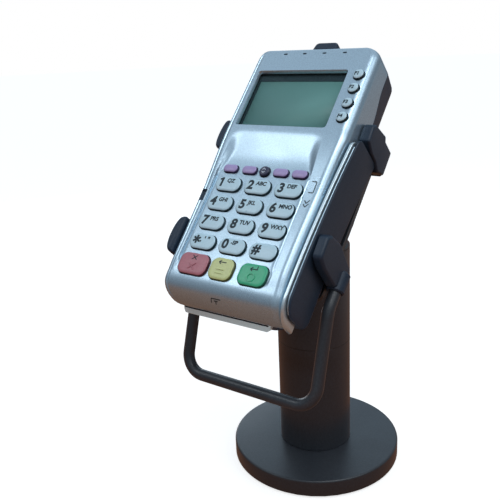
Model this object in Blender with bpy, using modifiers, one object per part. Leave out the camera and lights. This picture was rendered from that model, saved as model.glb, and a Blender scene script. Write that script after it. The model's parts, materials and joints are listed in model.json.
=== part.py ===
"""Card payment terminal held in a countertop stand.

A round weighted base carries a pole that swivels about its own axis. A friction hinge on top
of the pole tilts a cradle, whose clips hold the terminal, and a U-shaped handle hangs from
the cradle's two lower clips.

Frame: metres, +Z up, origin at the centre of the base's underside, keypad facing -Y.
Everything on the tilting head is drawn in the face frame: x across the face, y up the face,
z out of it, with its zero on the keypad panel at the first row of number keys.
"""

import math

import bmesh
import bpy
from mathutils import Matrix, Vector

MM = 0.001
GAP = 0.3 * MM

# Stand: base, pole and hinge
BASE_RADIUS = 55.0 * MM
BASE_TOP = 12.3 * MM
BASE_ROUNDING = 1.2 * MM
PAD_RADIUS = 53.0 * MM
PAD_THICKNESS = 1.2 * MM
BOLT_RADIUS = 5.0 * MM
BOLT_HEAD_RADIUS = 8.5 * MM
BOLT_HEAD_HEIGHT = 4.5 * MM
BOLT_TOP = 24.0 * MM
POLE_RADIUS = 23.4 * MM
POLE_WALL = 2.5 * MM
POLE_FLOOR = 9.0 * MM
SWIVEL_HEIGHT = 84.5 * MM
SWIVEL_RING = 1.0 * MM
BUSH_REACH = 20.0 * MM
BUSH_WALL = 3.2 * MM
POLE_TOP = 146.0 * MM
CAP_HEIGHT = 4.0 * MM
CAP_PLUG_DEPTH = 14.0 * MM
CAP_EDGE = 3.0 * MM
HINGE_Y = 6.0 * MM
HINGE_Z = 164.0 * MM
HINGE_BOLT_RADIUS = 4.0 * MM
EAR_RADIUS = 10.0 * MM
EAR_THICKNESS = 6.0 * MM
WASHER_THICKNESS = 1.3 * MM
WASHER_RADIUS = 9.0 * MM
LUG_HALF_WIDTH = 8.5 * MM
NUT_RADIUS = 7.5 * MM
NUT_HEIGHT = 6.0 * MM

# Face frame against the hinge
FACE_TILT = math.radians(46.34)
FACE_RISE = 60.7 * MM
FACE_BACK = 18.55 * MM

# Terminal shells
TOP_Y = 97.0 * MM
NOSE_Y = -71.5 * MM
LEFT_X = -43.0 * MM
RIGHT_X = 39.0 * MM
LEFT_TAPER = 1.2 * MM
PLATEAU_Z = 3.3 * MM
REAR_Z = -33.2 * MM
SLOPE_TOP_Y = 38.0 * MM
SLOPE_FOOT_Y = 12.0 * MM
PARTING_TOP_Z = -14.5 * MM
PARTING_NOSE_Z = -18.6 * MM
PARTING_START_Y = 82.0 * MM
PARTING_END_Y = 58.0 * MM
PARTING_GAP = 0.6 * MM
TOP_CORNER = 8.0 * MM
NOSE_CORNER = 10.0 * MM
NOSE_ROUNDING = 13.5 * MM
EDGE_ROUNDING = 2.5 * MM
REAR_ROUNDING = 7.0 * MM
SIDE_DRAFT = 1.2 * MM
UPPER_WALL = 2.0 * MM
LOWER_WALL = 1.8 * MM
LOWER_NOSE_Y = -69.5 * MM
NOSE_REAR_RISE = 3.5 * MM

# Swipe track on the right of the face
RAIL_END_X = 37.3 * MM
RAIL_END_Y = -50.0 * MM
RAIL_FLARE = 4.2 * MM
RAIL_TOP_Y = 36.0 * MM
RAIL_FOOT_Y = -57.0 * MM
RAIL_HALF = 1.2 * MM
RAIL_TOP_Z = -0.9 * MM
TRACK_WIDTH = 1.7 * MM
TRACK_FLOOR_Z = -12.8 * MM
TRACK_FLOOR = 1.5 * MM
HOUSING_TOP_Z = -2.5 * MM
HOUSING_REAR_Z = -29.5 * MM
HOUSING_OUTER = 3.0 * MM
HOUSING_TOP_Y = 37.6 * MM
HOUSING_NOSE_Y = -66.4 * MM
HOUSING_NOSE_RADIUS = 9.0 * MM

# Display
DISPLAY_CENTRE = (-6.15 * MM, 59.75 * MM)
DISPLAY_OPENING = (59.6 * MM, 38.4 * MM)
DISPLAY_CORNER = 1.6 * MM
WINDOW_MARGIN = 1.6 * MM
WINDOW_TOP_Z = 1.0 * MM
WINDOW_THICKNESS = 1.2 * MM
PANEL_THICKNESS = 4.0 * MM

# Keys: across and up the face, centre to centre
KEY_COLUMNS = (-24.0 * MM, -4.0 * MM, 16.1 * MM)
KEY_ROW_PITCH = 12.5 * MM
KEY_SIZE = (17.0 * MM, 9.2 * MM)
KEY_CORNER = 4.3 * MM
SOFT_ROW_Y = 10.5 * MM
SOFT_COLUMNS = (-27.2 * MM, -14.0 * MM, 6.9 * MM, 19.1 * MM)
SOFT_SIZE = (9.6 * MM, 5.0 * MM)
SOFT_CORNER = 2.3 * MM
SCROLL_X = -3.9 * MM
ROUND_KEY_RADIUS = 3.2 * MM
FUNCTION_X = 32.4 * MM
FUNCTION_ROWS = (75.6 * MM, 66.2 * MM, 56.0 * MM, 46.6 * MM)
ACTION_Y = -51.2 * MM
ACTION_SIZE = ((19.4 * MM, 12.6 * MM), (14.8 * MM, 12.6 * MM), (17.2 * MM, 12.2 * MM))
ACTION_COLUMNS = (-23.7 * MM, -4.6 * MM, 15.6 * MM)
ACTION_CORNER = 4.2 * MM
KEY_CLEARANCE = 0.4 * MM
KEY_PROUD = 2.0 * MM
KEY_FLANGE = 0.7 * MM
FLANGE_TOP_Z = -2.4 * MM
FLANGE_BOTTOM_Z = -3.4 * MM
KEY_TRAVEL = 1.2 * MM

# Inside the terminal
MAT_TOP_Z = -5.0 * MM
MAT_THICKNESS = 1.9 * MM
BOARD_THICKNESS = 1.6 * MM
HEAD_Y = 1.0 * MM
HEAD_SIZE = (5.6 * MM, 10.0 * MM, 6.0 * MM)
HEAD_Z = -8.0 * MM
CARD_SLOT_Z = -19.4 * MM
CARD_SLOT_HEIGHT = 1.3 * MM
CARD_WIDTH = 54.6 * MM
CARD_CENTRE_X = -5.0 * MM
LIP_HALF_WIDTH = 30.5 * MM
LIP_FRONT_Y = -72.0 * MM
LIP_TOP_Z = -20.3 * MM
LIP_HEIGHT = 2.7 * MM
PORT_X = -20.0 * MM
PORT_Y = 78.0 * MM
PORT_SIZE = (16.0 * MM, 16.6 * MM, 9.0 * MM)
PORT_HOLLOW = (12.0 * MM, 12.6 * MM, 6.5 * MM)
SCREW_PLACES = {"left": -31.0 * MM, "right": 27.0 * MM}
SCREW_Y = 90.0 * MM
SCREW_RADIUS = 1.5 * MM
SCREW_HEAD_RADIUS = 3.0 * MM
BOSS_RADIUS = 3.4 * MM
LIGHT_COLUMNS = (-22.5 * MM, -9.2 * MM, 4.2 * MM, 17.6 * MM)
LIGHT_Y = 92.3 * MM
LIGHT_SIZE = (2.6 * MM, 1.1 * MM)

# Cradle: plate, clips and handle
PLATE_FRONT_Z = -35.0 * MM
PLATE_REAR_Z = -38.0 * MM
PLATE_HALF_WIDTH = 39.0 * MM
PLATE_WAIST_HALF_WIDTH = 37.5 * MM
PLATE_WAIST_Y = -17.0 * MM
PLATE_TOP_Y = 62.0 * MM
PLATE_FOOT_Y = -46.0 * MM
CLIP_FOOT_THICKNESS = 2.7 * MM
CLIP_FOOT_INNER_X = 18.0 * MM
CLIP_WALL_REAR_Z = -38.6 * MM
CLIP_ROUNDING = 1.2 * MM
FLANGE_HALF_WIDTH = 16.0 * MM
FLANGE_THICKNESS = 3.0 * MM
SOCKET_X = 44.5 * MM
SOCKET_Z = -34.5 * MM
SOCKET_RADIUS = 5.2 * MM
SOCKET_MOUTH_Y = -42.0 * MM
SOCKET_END_Y = -26.0 * MM
HANDLE_RADIUS = 3.5 * MM
HANDLE_TOP_Y = -30.0 * MM
HANDLE_KNEE_Y = -49.9 * MM
HANDLE_BAR = (-97.8 * MM, -58.3 * MM)
HANDLE_KNEE_RADIUS = 16.0 * MM
HANDLE_CORNER_RADIUS = 12.0 * MM

# Facets
ROUND_STEPS = 40
SMALL_STEPS = 20
ARC_STEPS = 4
SMOOTH_ANGLE = math.radians(35)
MERGE = 0.00001
FLAT_ANGLE = math.radians(0.5)

# Rotations that stand a flat outline up: along x it is drawn as (y, z), along y as (x, z)
ALONG = {
    "x": Matrix(((0, 0, 1, 0), (1, 0, 0, 0), (0, 1, 0, 0), (0, 0, 0, 1))),
    "y": Matrix(((1, 0, 0, 0), (0, 0, -1, 0), (0, 1, 0, 0), (0, 0, 0, 1))),
    "z": Matrix.Identity(4),
}


# ---- Scene, collections and materials ----

def clear_scene():
    for item in list(bpy.data.objects):
        bpy.data.objects.remove(item, do_unlink=True)


def make_collection(name):
    group = bpy.data.collections.new(name)
    bpy.context.scene.collection.children.link(group)
    return group


def make_material(name, colour, roughness, metallic=0.0):
    material = bpy.data.materials.new(name)
    material.use_nodes = True
    shader = material.node_tree.nodes["Principled BSDF"]
    shader.inputs["Base Color"].default_value = (*colour, 1.0)
    shader.inputs["Roughness"].default_value = roughness
    shader.inputs["Metallic"].default_value = metallic
    return material


def make_frame(name, location, tilt=0.0, parent=None):
    frame = bpy.data.objects.new(name, None)
    frame.location = location
    frame.rotation_euler = (tilt, 0.0, 0.0)
    frame.parent = parent
    frame.empty_display_size = 0.02
    PARTS.objects.link(frame)
    return frame


def add_part(name, mesh, material, frame, location=(0.0, 0.0, 0.0)):
    part = bpy.data.objects.new(name, mesh)
    part.parent = frame
    part.location = location
    part.data.materials.append(material)
    part.data.shade_smooth()
    part.data.set_sharp_from_angle(angle=SMOOTH_ANGLE)
    PARTS.objects.link(part)
    return part


def add_cutter(name, mesh, frame, location=(0.0, 0.0, 0.0)):
    cutter = bpy.data.objects.new(name, mesh)
    cutter.parent = frame
    cutter.location = location
    cutter.hide_render = True
    cutter.display_type = "WIRE"
    CUTTERS.objects.link(cutter)
    return cutter


def combine(part, other, operation="DIFFERENCE"):
    modifier = part.modifiers.new(f"{operation.lower()}_{other.name}", "BOOLEAN")
    modifier.operation = operation
    modifier.object = other
    modifier.solver = "EXACT"


def add_bevel(part, width, segments=2, angle=math.radians(40)):
    bevel = part.modifiers.new("bevel", "BEVEL")
    bevel.width = width
    bevel.segments = segments
    bevel.limit_method = "ANGLE"
    bevel.angle_limit = angle


# ---- Outlines: lists of flat points ----

def arc(centre, radius, start, stop, steps):
    """Points on an arc, angles in degrees, both ends included."""
    angles = [math.radians(start + (stop - start) * i / steps) for i in range(steps + 1)]
    return [(centre[0] + radius * math.cos(a), centre[1] + radius * math.sin(a)) for a in angles]


def circle(centre, radius, steps=SMALL_STEPS):
    return arc(centre, radius, 0.0, 360.0, steps)[:-1]


def rounded_rectangle(centre, size, corner, steps=ARC_STEPS):
    half_x = size[0] / 2 - corner
    half_y = size[1] / 2 - corner
    points = []
    for start, side_x, side_y in ((0, 1, 1), (90, -1, 1), (180, -1, -1), (270, 1, -1)):
        middle = (centre[0] + side_x * half_x, centre[1] + side_y * half_y)
        points += arc(middle, corner, start, start + 90, steps)
    return points


def rectangle(x_low, x_high, y_low, y_high):
    return [(x_low, y_low), (x_high, y_low), (x_high, y_high), (x_low, y_high)]


def rectangle_about(centre, size):
    return rectangle(
        centre[0] - size[0] / 2, centre[0] + size[0] / 2, centre[1] - size[1] / 2, centre[1] + size[1] / 2)


def rounded_path(points, radii, steps):
    """Points of an open path whose inner corners are replaced by arcs of the given radii."""
    points = [Vector(p) for p in points]
    path = [points[0]]
    for before, corner, after, radius in zip(points, points[1:], points[2:], radii):
        into = (corner - before).normalized()
        out = (after - corner).normalized()
        turn = into.angle(out)
        reach = radius * math.tan(turn / 2)
        start = corner - into * reach
        middle = start + (out - into * into.dot(out)).normalized() * radius
        for i in range(steps + 1):
            angle = turn * i / steps
            outward = (start - middle).normalized()
            path.append(middle + outward * radius * math.cos(angle) + into * radius * math.sin(angle))
    path.append(points[-1])
    return path


# ---- Solids ----

def weld(mesh, flatten=False):
    """Joins a mesh's loose caps to its sides, and makes each flat cap one face if asked."""
    cage = bmesh.new()
    cage.from_mesh(mesh)
    bmesh.ops.remove_doubles(cage, verts=cage.verts, dist=MERGE)
    if flatten:
        bmesh.ops.dissolve_limit(cage, angle_limit=FLAT_ANGLE, verts=cage.verts, edges=cage.edges)
    bmesh.ops.recalc_face_normals(cage, faces=cage.faces)
    cage.to_mesh(mesh)
    cage.free()
    return mesh


def mesh_of_curve(curve, flatten=False):
    """The welded mesh of a curve, whose caps and sides come loose from the curve itself."""
    holder = bpy.data.objects.new(curve.name, curve)
    CUTTERS.objects.link(holder)
    graph = bpy.context.evaluated_depsgraph_get()
    mesh = bpy.data.meshes.new_from_object(holder.evaluated_get(graph))
    bpy.data.objects.remove(holder, do_unlink=True)
    bpy.data.curves.remove(curve)
    return weld(mesh, flatten)


def add_spline(curve, points, closed):
    spline = curve.splines.new("POLY")
    spline.points.add(len(points) - 1)
    for slot, point in zip(spline.points, points):
        place = Vector(point).to_3d()
        slot.co = (*place, 1.0)
    spline.use_cyclic_u = closed


def prism(name, outlines, low, high, along="z"):
    """Flat outlines, one or several, drawn as solids from low to high along an axis."""
    if isinstance(outlines[0][0], float):
        outlines = [outlines]
    curve = bpy.data.curves.new(name, "CURVE")
    curve.dimensions = "2D"
    curve.fill_mode = "BOTH"
    curve.extrude = (high - low) / 2
    for outline in outlines:
        add_spline(curve, outline, closed=True)
    mesh = mesh_of_curve(curve, flatten=len(outlines) == 1)
    middle = (high + low) / 2
    if along == "y":
        middle = -middle
    mesh.transform(ALONG[along] @ Matrix.Translation((0.0, 0.0, middle)))
    return mesh


def tube(name, points, radius):
    curve = bpy.data.curves.new(name, "CURVE")
    curve.dimensions = "3D"
    curve.bevel_depth = radius
    curve.bevel_resolution = 4
    curve.use_fill_caps = True
    add_spline(curve, points, closed=False)
    return mesh_of_curve(curve)


def turned(name, profile, material, frame, location=(0.0, 0.0, 0.0), steps=ROUND_STEPS, closed=False):
    """A turned solid about z. The profile is (radius, height), down its outer side."""
    cage = bmesh.new()
    corners = [cage.verts.new((radius, 0.0, height)) for radius, height in profile]
    for a, b in zip(corners, corners[1:]):
        cage.edges.new((a, b))
    if closed:
        cage.edges.new((corners[-1], corners[0]))
    mesh = bpy.data.meshes.new(name)
    cage.to_mesh(mesh)
    cage.free()
    part = add_part(name, mesh, material, frame, location)
    screw = part.modifiers.new("turn", "SCREW")
    screw.steps = steps
    screw.render_steps = steps
    screw.use_merge_vertices = True
    screw.merge_threshold = MERGE
    screw.use_smooth_shade = True
    return part


def loft(name, rings, closed, capped=True):
    """A skin through unlike sections that all have the same number of points."""
    cage = bmesh.new()
    rows = [[cage.verts.new(point) for point in ring] for ring in rings]
    count = len(rows[0])
    spans = count if closed else count - 1
    for row, following in zip(rows, rows[1:]):
        for i in range(spans):
            j = (i + 1) % count
            cage.faces.new((row[i], row[j], following[j], following[i]))
    if capped:
        cage.faces.new(list(reversed(rows[0])))
        cage.faces.new(rows[-1])
    mesh = bpy.data.meshes.new(name)
    cage.to_mesh(mesh)
    cage.free()
    return mesh


def stack(name, levels):
    """A solid built up from flat outlines; levels is a list of (outline, height)."""
    return loft(name, [[(x, y, height) for x, y in outline] for outline, height in levels], closed=True)


# ---- The terminal's outer shape, as functions of the distance up the face ----

def blend(value, start, stop):
    """0 below start, 1 above stop, and a smooth rise between them."""
    t = min(max((value - start) / (stop - start), 0.0), 1.0)
    return t * t * (3.0 - 2.0 * t)


def corner_inset(y, end, radius):
    """How far a rounded plan corner pulls the side in at y, near the end at y = end."""
    depth = radius - abs(end - y)
    if depth <= 0.0:
        return 0.0
    return radius - math.sqrt(max(radius * radius - depth * depth, 0.0))


def rail_x(y):
    t = max(y - RAIL_END_Y, 0.0) / (RAIL_TOP_Y - RAIL_END_Y)
    return RAIL_END_X + RAIL_FLARE * t * t


def case_left(y):
    return LEFT_X + LEFT_TAPER * (1.0 - blend(y, RAIL_END_Y, TOP_Y / 4))


def case_right(y):
    beside_track = rail_x(y) - RAIL_HALF - TRACK_WIDTH
    return beside_track + (RIGHT_X - beside_track) * blend(y, RAIL_TOP_Y - 4 * MM, RAIL_TOP_Y + 2 * MM)


def parting_z(y):
    return PARTING_NOSE_Z + (PARTING_TOP_Z - PARTING_NOSE_Z) * blend(y, PARTING_END_Y, PARTING_START_Y)


def face_z(y):
    """Height of the face: display plateau, slope, keypad panel and the rounded ends."""
    height = PLATEAU_Z * blend(y, SLOPE_FOOT_Y, SLOPE_TOP_Y)
    height -= corner_inset(y, TOP_Y, EDGE_ROUNDING)
    return height - corner_inset(y, NOSE_Y, NOSE_ROUNDING)


def rear_z(y):
    """Depth of the back: flat, rising towards the nose and rounded at both ends."""
    rise = NOSE_REAR_RISE * (1.0 - blend(y, LOWER_NOSE_Y, RAIL_END_Y))
    rise += corner_inset(y, TOP_Y, REAR_ROUNDING)
    return REAR_Z + rise


def rounded_end(end, radius, steps=5):
    """Places along y that follow a quarter round evenly; they run inward from the end."""
    inward = -math.copysign(1.0, end)
    return [end + inward * radius * (1.0 - math.cos(math.radians(90.0 * i / steps))) for i in range(steps + 1)]


def upper_section(y):
    left = case_left(y) + corner_inset(y, TOP_Y, TOP_CORNER) + corner_inset(y, NOSE_Y, NOSE_CORNER)
    right = case_right(y) - corner_inset(y, TOP_Y, TOP_CORNER) - corner_inset(y, NOSE_Y, NOSE_CORNER)
    top = face_z(y)
    bottom = parting_z(y)
    rounding = min(EDGE_ROUNDING, (top - bottom) / 2)
    section = [(left, bottom)]
    section += [(x, z) for x, z in arc((left + rounding, top - rounding), rounding, 180, 90, 3)]
    section += [(x, z) for x, z in arc((right - rounding, top - rounding), rounding, 90, 0, 3)]
    section.append((right, bottom))
    return [(x, y, z) for x, z in section]


def lower_section(y):
    inset = corner_inset(y, TOP_Y, TOP_CORNER) + corner_inset(y, LOWER_NOSE_Y, NOSE_CORNER)
    left = case_left(y) + inset
    right = case_right(y) - inset
    rim = parting_z(y) - PARTING_GAP
    floor = rear_z(y)
    rounding = min(REAR_ROUNDING, (rim - floor) / 2)
    section = [(right, rim)]
    section += arc((right - SIDE_DRAFT - rounding, floor + rounding), rounding, 0, -90, ARC_STEPS)
    section += arc((left + SIDE_DRAFT + rounding, floor + rounding), rounding, 270, 180, ARC_STEPS)
    section.append((left, rim))
    return [(x, y, z) for x, z in section]


def upper_stations():
    """Places of the front shell's sections, from the nose to the top end."""
    nose = rounded_end(NOSE_Y, NOSE_ROUNDING, steps=7)
    panel = [RAIL_END_Y, 0.5 * RAIL_END_Y, -0.2 * RAIL_TOP_Y]
    slope = [SLOPE_FOOT_Y + (SLOPE_TOP_Y - SLOPE_FOOT_Y) * i / 6 for i in range(7)]
    plateau = [PARTING_END_Y, (PARTING_START_Y + PARTING_END_Y) / 2, PARTING_START_Y]
    top = rounded_end(TOP_Y, TOP_CORNER)
    return nose + panel + slope + plateau + list(reversed(top))


def lower_stations():
    """Places of the rear shell's sections, from the nose to the top end."""
    nose = rounded_end(LOWER_NOSE_Y, NOSE_CORNER)
    middle = [RAIL_END_Y, 0.5 * RAIL_END_Y, -0.2 * RAIL_TOP_Y, SLOPE_FOOT_Y, RAIL_TOP_Y - 4 * MM, SLOPE_TOP_Y]
    middle += [PARTING_END_Y, (PARTING_START_Y + PARTING_END_Y) / 2, PARTING_START_Y]
    top = rounded_end(TOP_Y, TOP_CORNER)
    return nose + middle + list(reversed(top))


def strip_along_rail(inner, outer, y_low, y_high, steps=12):
    """Plan outline of a band that follows the swipe rail, between two offsets from it."""
    places = [y_low + (y_high - y_low) * i / steps for i in range(steps + 1)]
    outer_side = [(rail_x(y) + outer, y) for y in places]
    inner_side = [(rail_x(y) + inner, y) for y in reversed(places)]
    return outer_side + inner_side


# ---- Keys ----

def key_table():
    """Name, place, outline and material of every key."""
    keys = []
    names = ("1", "2", "3", "4", "5", "6", "7", "8", "9", "star", "0", "hash")
    for number, name in enumerate(names):
        place = (KEY_COLUMNS[number % 3], -KEY_ROW_PITCH * (number // 3))
        keys.append((f"key_{name}", place, KEY_SIZE, KEY_CORNER, "key_silver"))
    for name, x, size in zip(("cancel", "clear", "enter"), ACTION_COLUMNS, ACTION_SIZE):
        keys.append((f"key_{name}", (x, ACTION_Y), size, ACTION_CORNER, f"key_{name}"))
    for number, x in enumerate(SOFT_COLUMNS, start=1):
        keys.append((f"key_soft_{number}", (x, SOFT_ROW_Y), SOFT_SIZE, SOFT_CORNER, "key_purple"))
    round_size = (2 * ROUND_KEY_RADIUS, 2 * ROUND_KEY_RADIUS)
    keys.append(("key_scroll", (SCROLL_X, SOFT_ROW_Y), round_size, ROUND_KEY_RADIUS, "key_dark"))
    for number, y in enumerate(FUNCTION_ROWS, start=1):
        keys.append((f"key_function_{number}", (FUNCTION_X, y), round_size, ROUND_KEY_RADIUS, "key_silver"))
    return keys


def key_outline(size, corner, grow):
    steps = ARC_STEPS if size[0] > 2 * SOFT_SIZE[1] else 3
    centre = (0.0, 0.0)
    return rounded_rectangle(centre, (size[0] + 2 * grow, size[1] + 2 * grow), corner + grow, steps)


def add_keys(frame):
    openings = []
    for name, place, size, corner, material in key_table():
        face = face_z(place[1])
        levels = [
            (key_outline(size, corner, KEY_FLANGE), FLANGE_BOTTOM_Z),
            (key_outline(size, corner, KEY_FLANGE), FLANGE_TOP_Z),
            (key_outline(size, corner, 0.0), FLANGE_TOP_Z),
            (key_outline(size, corner, 0.0), KEY_PROUD * 0.7),
            (key_outline(size, corner, -0.7 * MM), KEY_PROUD),
        ]
        mesh = stack(name, levels)
        add_part(name, mesh, MATERIALS[material], frame, (*place, face))
        hole = key_outline(size, corner, KEY_CLEARANCE)
        openings.append([(place[0] + x, place[1] + y) for x, y in hole])
    return openings


# ---- Terminal ----

def add_upper_case(frame, key_openings):
    skin = loft("upper_case", [upper_section(y) for y in upper_stations()], closed=False)
    case = add_part("upper_case", skin, MATERIALS["silver"], frame)
    shell = case.modifiers.new("shell", "SOLIDIFY")
    shell.thickness = UPPER_WALL
    shell.offset = -1.0
    shell.use_even_offset = True
    bosses = [circle((x, SCREW_Y), BOSS_RADIUS) for x in SCREW_PLACES.values()]
    boss_mesh = prism("screw_bosses", bosses, REAR_Z + 8 * MM, PLATEAU_Z - UPPER_WALL / 2)
    combine(case, add_cutter("screw_bosses", boss_mesh, frame), "UNION")
    drills = [circle((x, SCREW_Y), SCREW_RADIUS + GAP, 12) for x in SCREW_PLACES.values()]
    drill_mesh = prism("screw_drills", drills, REAR_Z, PARTING_TOP_Z + 4 * MM)
    combine(case, add_cutter("screw_drills", drill_mesh, frame))
    windows = key_openings + [rounded_rectangle(DISPLAY_CENTRE, DISPLAY_OPENING, DISPLAY_CORNER)]
    windows += [rounded_rectangle((x, LIGHT_Y), LIGHT_SIZE, LIGHT_SIZE[1] / 2.2, 2) for x in LIGHT_COLUMNS]
    window_mesh = prism("face_openings", windows, -6 * MM, 8 * MM)
    combine(case, add_cutter("face_openings", window_mesh, frame))
    reach = case_right(HEAD_Y)
    slot = rectangle(reach - 4 * MM, reach + 2 * MM, HEAD_Y - 5.6 * MM, HEAD_Y + 5.6 * MM)
    slot_mesh = prism("head_window", slot, HEAD_Z - 3.5 * MM, HEAD_Z + 3.5 * MM)
    combine(case, add_cutter("head_window", slot_mesh, frame))


def add_lower_case(frame):
    skin = loft("lower_case", [lower_section(y) for y in lower_stations()], closed=False)
    case = add_part("lower_case", skin, MATERIALS["black_plastic"], frame)
    shell = case.modifiers.new("shell", "SOLIDIFY")
    shell.thickness = LOWER_WALL
    shell.offset = -1.0
    shell.use_even_offset = True
    mouth = rectangle(
        CARD_CENTRE_X - CARD_WIDTH / 2 - GAP, CARD_CENTRE_X + CARD_WIDTH / 2 + GAP,
        LOWER_NOSE_Y - 5 * MM, LOWER_NOSE_Y + 5 * MM)
    mouth_mesh = prism("card_mouth", mouth, CARD_SLOT_Z - CARD_SLOT_HEIGHT / 2, PARTING_NOSE_Z + 2 * MM)
    combine(case, add_cutter("card_mouth", mouth_mesh, frame))
    drills = [circle((x, SCREW_Y), SCREW_RADIUS + GAP, 12) for x in SCREW_PLACES.values()]
    drills.append(rectangle_about((PORT_X, PORT_Y), (PORT_SIZE[0] + 2 * GAP, PORT_SIZE[1] + 2 * GAP)))
    drill_mesh = prism("rear_openings", drills, REAR_Z - 5 * MM, REAR_Z + 6 * MM)
    combine(case, add_cutter("rear_openings", drill_mesh, frame))


def add_swipe_track(frame):
    rail = prism(
        "swipe_rail", strip_along_rail(-RAIL_HALF, RAIL_HALF, RAIL_FOOT_Y, RAIL_TOP_Y),
        TRACK_FLOOR_Z - TRACK_FLOOR, RAIL_TOP_Z)
    rail_part = add_part("swipe_rail", rail, MATERIALS["silver"], frame)
    floor = prism(
        "track_floor", strip_along_rail(-RAIL_HALF - TRACK_WIDTH + GAP, 0.0, RAIL_FOOT_Y, RAIL_TOP_Y),
        TRACK_FLOOR_Z - TRACK_FLOOR, TRACK_FLOOR_Z)
    combine(rail_part, add_cutter("track_floor", floor, frame), "UNION")
    add_bevel(rail_part, 0.5 * MM, segments=1)

    top_round = arc((HOUSING_TOP_Y - 3 * MM, HOUSING_TOP_Z - 3 * MM), 3 * MM, 0, 90, ARC_STEPS)
    nose_top = (HOUSING_NOSE_Y + HOUSING_NOSE_RADIUS, HOUSING_TOP_Z - HOUSING_NOSE_RADIUS)
    nose_round = arc(nose_top, HOUSING_NOSE_RADIUS, 90, 180, ARC_STEPS + 2)
    rear_round = arc((HOUSING_NOSE_Y + 7 * MM, HOUSING_REAR_Z + 7 * MM), 7 * MM, 180, 270, ARC_STEPS)
    side = top_round + nose_round + rear_round + [(HOUSING_TOP_Y, HOUSING_REAR_Z)]
    wall = prism("swipe_housing", side, RAIL_END_X - 8 * MM, RAIL_END_X + 12 * MM, along="x")
    housing = add_part("swipe_housing", wall, MATERIALS["black_plastic"], frame)
    inner = -RAIL_HALF - TRACK_WIDTH + GAP
    plan = strip_along_rail(inner, HOUSING_OUTER, HOUSING_NOSE_Y - 5 * MM, HOUSING_TOP_Y + 5 * MM)
    plan_mesh = prism("housing_plan", plan, REAR_Z, 5 * MM)
    combine(housing, add_cutter("housing_plan", plan_mesh, frame), "INTERSECT")
    channel = strip_along_rail(inner - 2 * MM, RAIL_HALF + GAP, HOUSING_NOSE_Y - 6 * MM, RAIL_TOP_Y + GAP)
    channel_mesh = prism("housing_channel", channel, TRACK_FLOOR_Z - TRACK_FLOOR - GAP, 6 * MM)
    combine(housing, add_cutter("housing_channel", channel_mesh, frame))


def add_display(frame):
    size = (DISPLAY_OPENING[0] + 2 * WINDOW_MARGIN, DISPLAY_OPENING[1] + 2 * WINDOW_MARGIN)
    outline = rounded_rectangle(DISPLAY_CENTRE, size, DISPLAY_CORNER, 2)
    low = WINDOW_TOP_Z - WINDOW_THICKNESS
    add_part("display_window", prism("display_window", outline, low, WINDOW_TOP_Z), MATERIALS["glass"], frame)
    panel = rounded_rectangle(DISPLAY_CENTRE, size, DISPLAY_CORNER, 2)
    top = low - GAP
    add_part("lcd_panel", prism("lcd_panel", panel, top - PANEL_THICKNESS, top), MATERIALS["lcd"], frame)


def add_status_lights(frame):
    base = rectangle(LIGHT_COLUMNS[0] - 4 * MM, LIGHT_COLUMNS[-1] + 4 * MM, LIGHT_Y - 1.3 * MM, LIGHT_Y + 1.3 * MM)
    bar = prism("status_light_bar", base, -2.0 * MM, PLATEAU_Z - UPPER_WALL - 2 * GAP)
    part = add_part("status_light_bar", bar, MATERIALS["light_pipe"], frame)
    nubs = [
        rounded_rectangle((x, LIGHT_Y), (LIGHT_SIZE[0] - GAP * 2, LIGHT_SIZE[1] - GAP), LIGHT_SIZE[1] / 3, 2)
        for x in LIGHT_COLUMNS
    ]
    nub_mesh = prism("status_light_nubs", nubs, -1.0 * MM, PLATEAU_Z - 2 * GAP)
    combine(part, add_cutter("status_light_nubs", nub_mesh, frame), "UNION")


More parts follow.
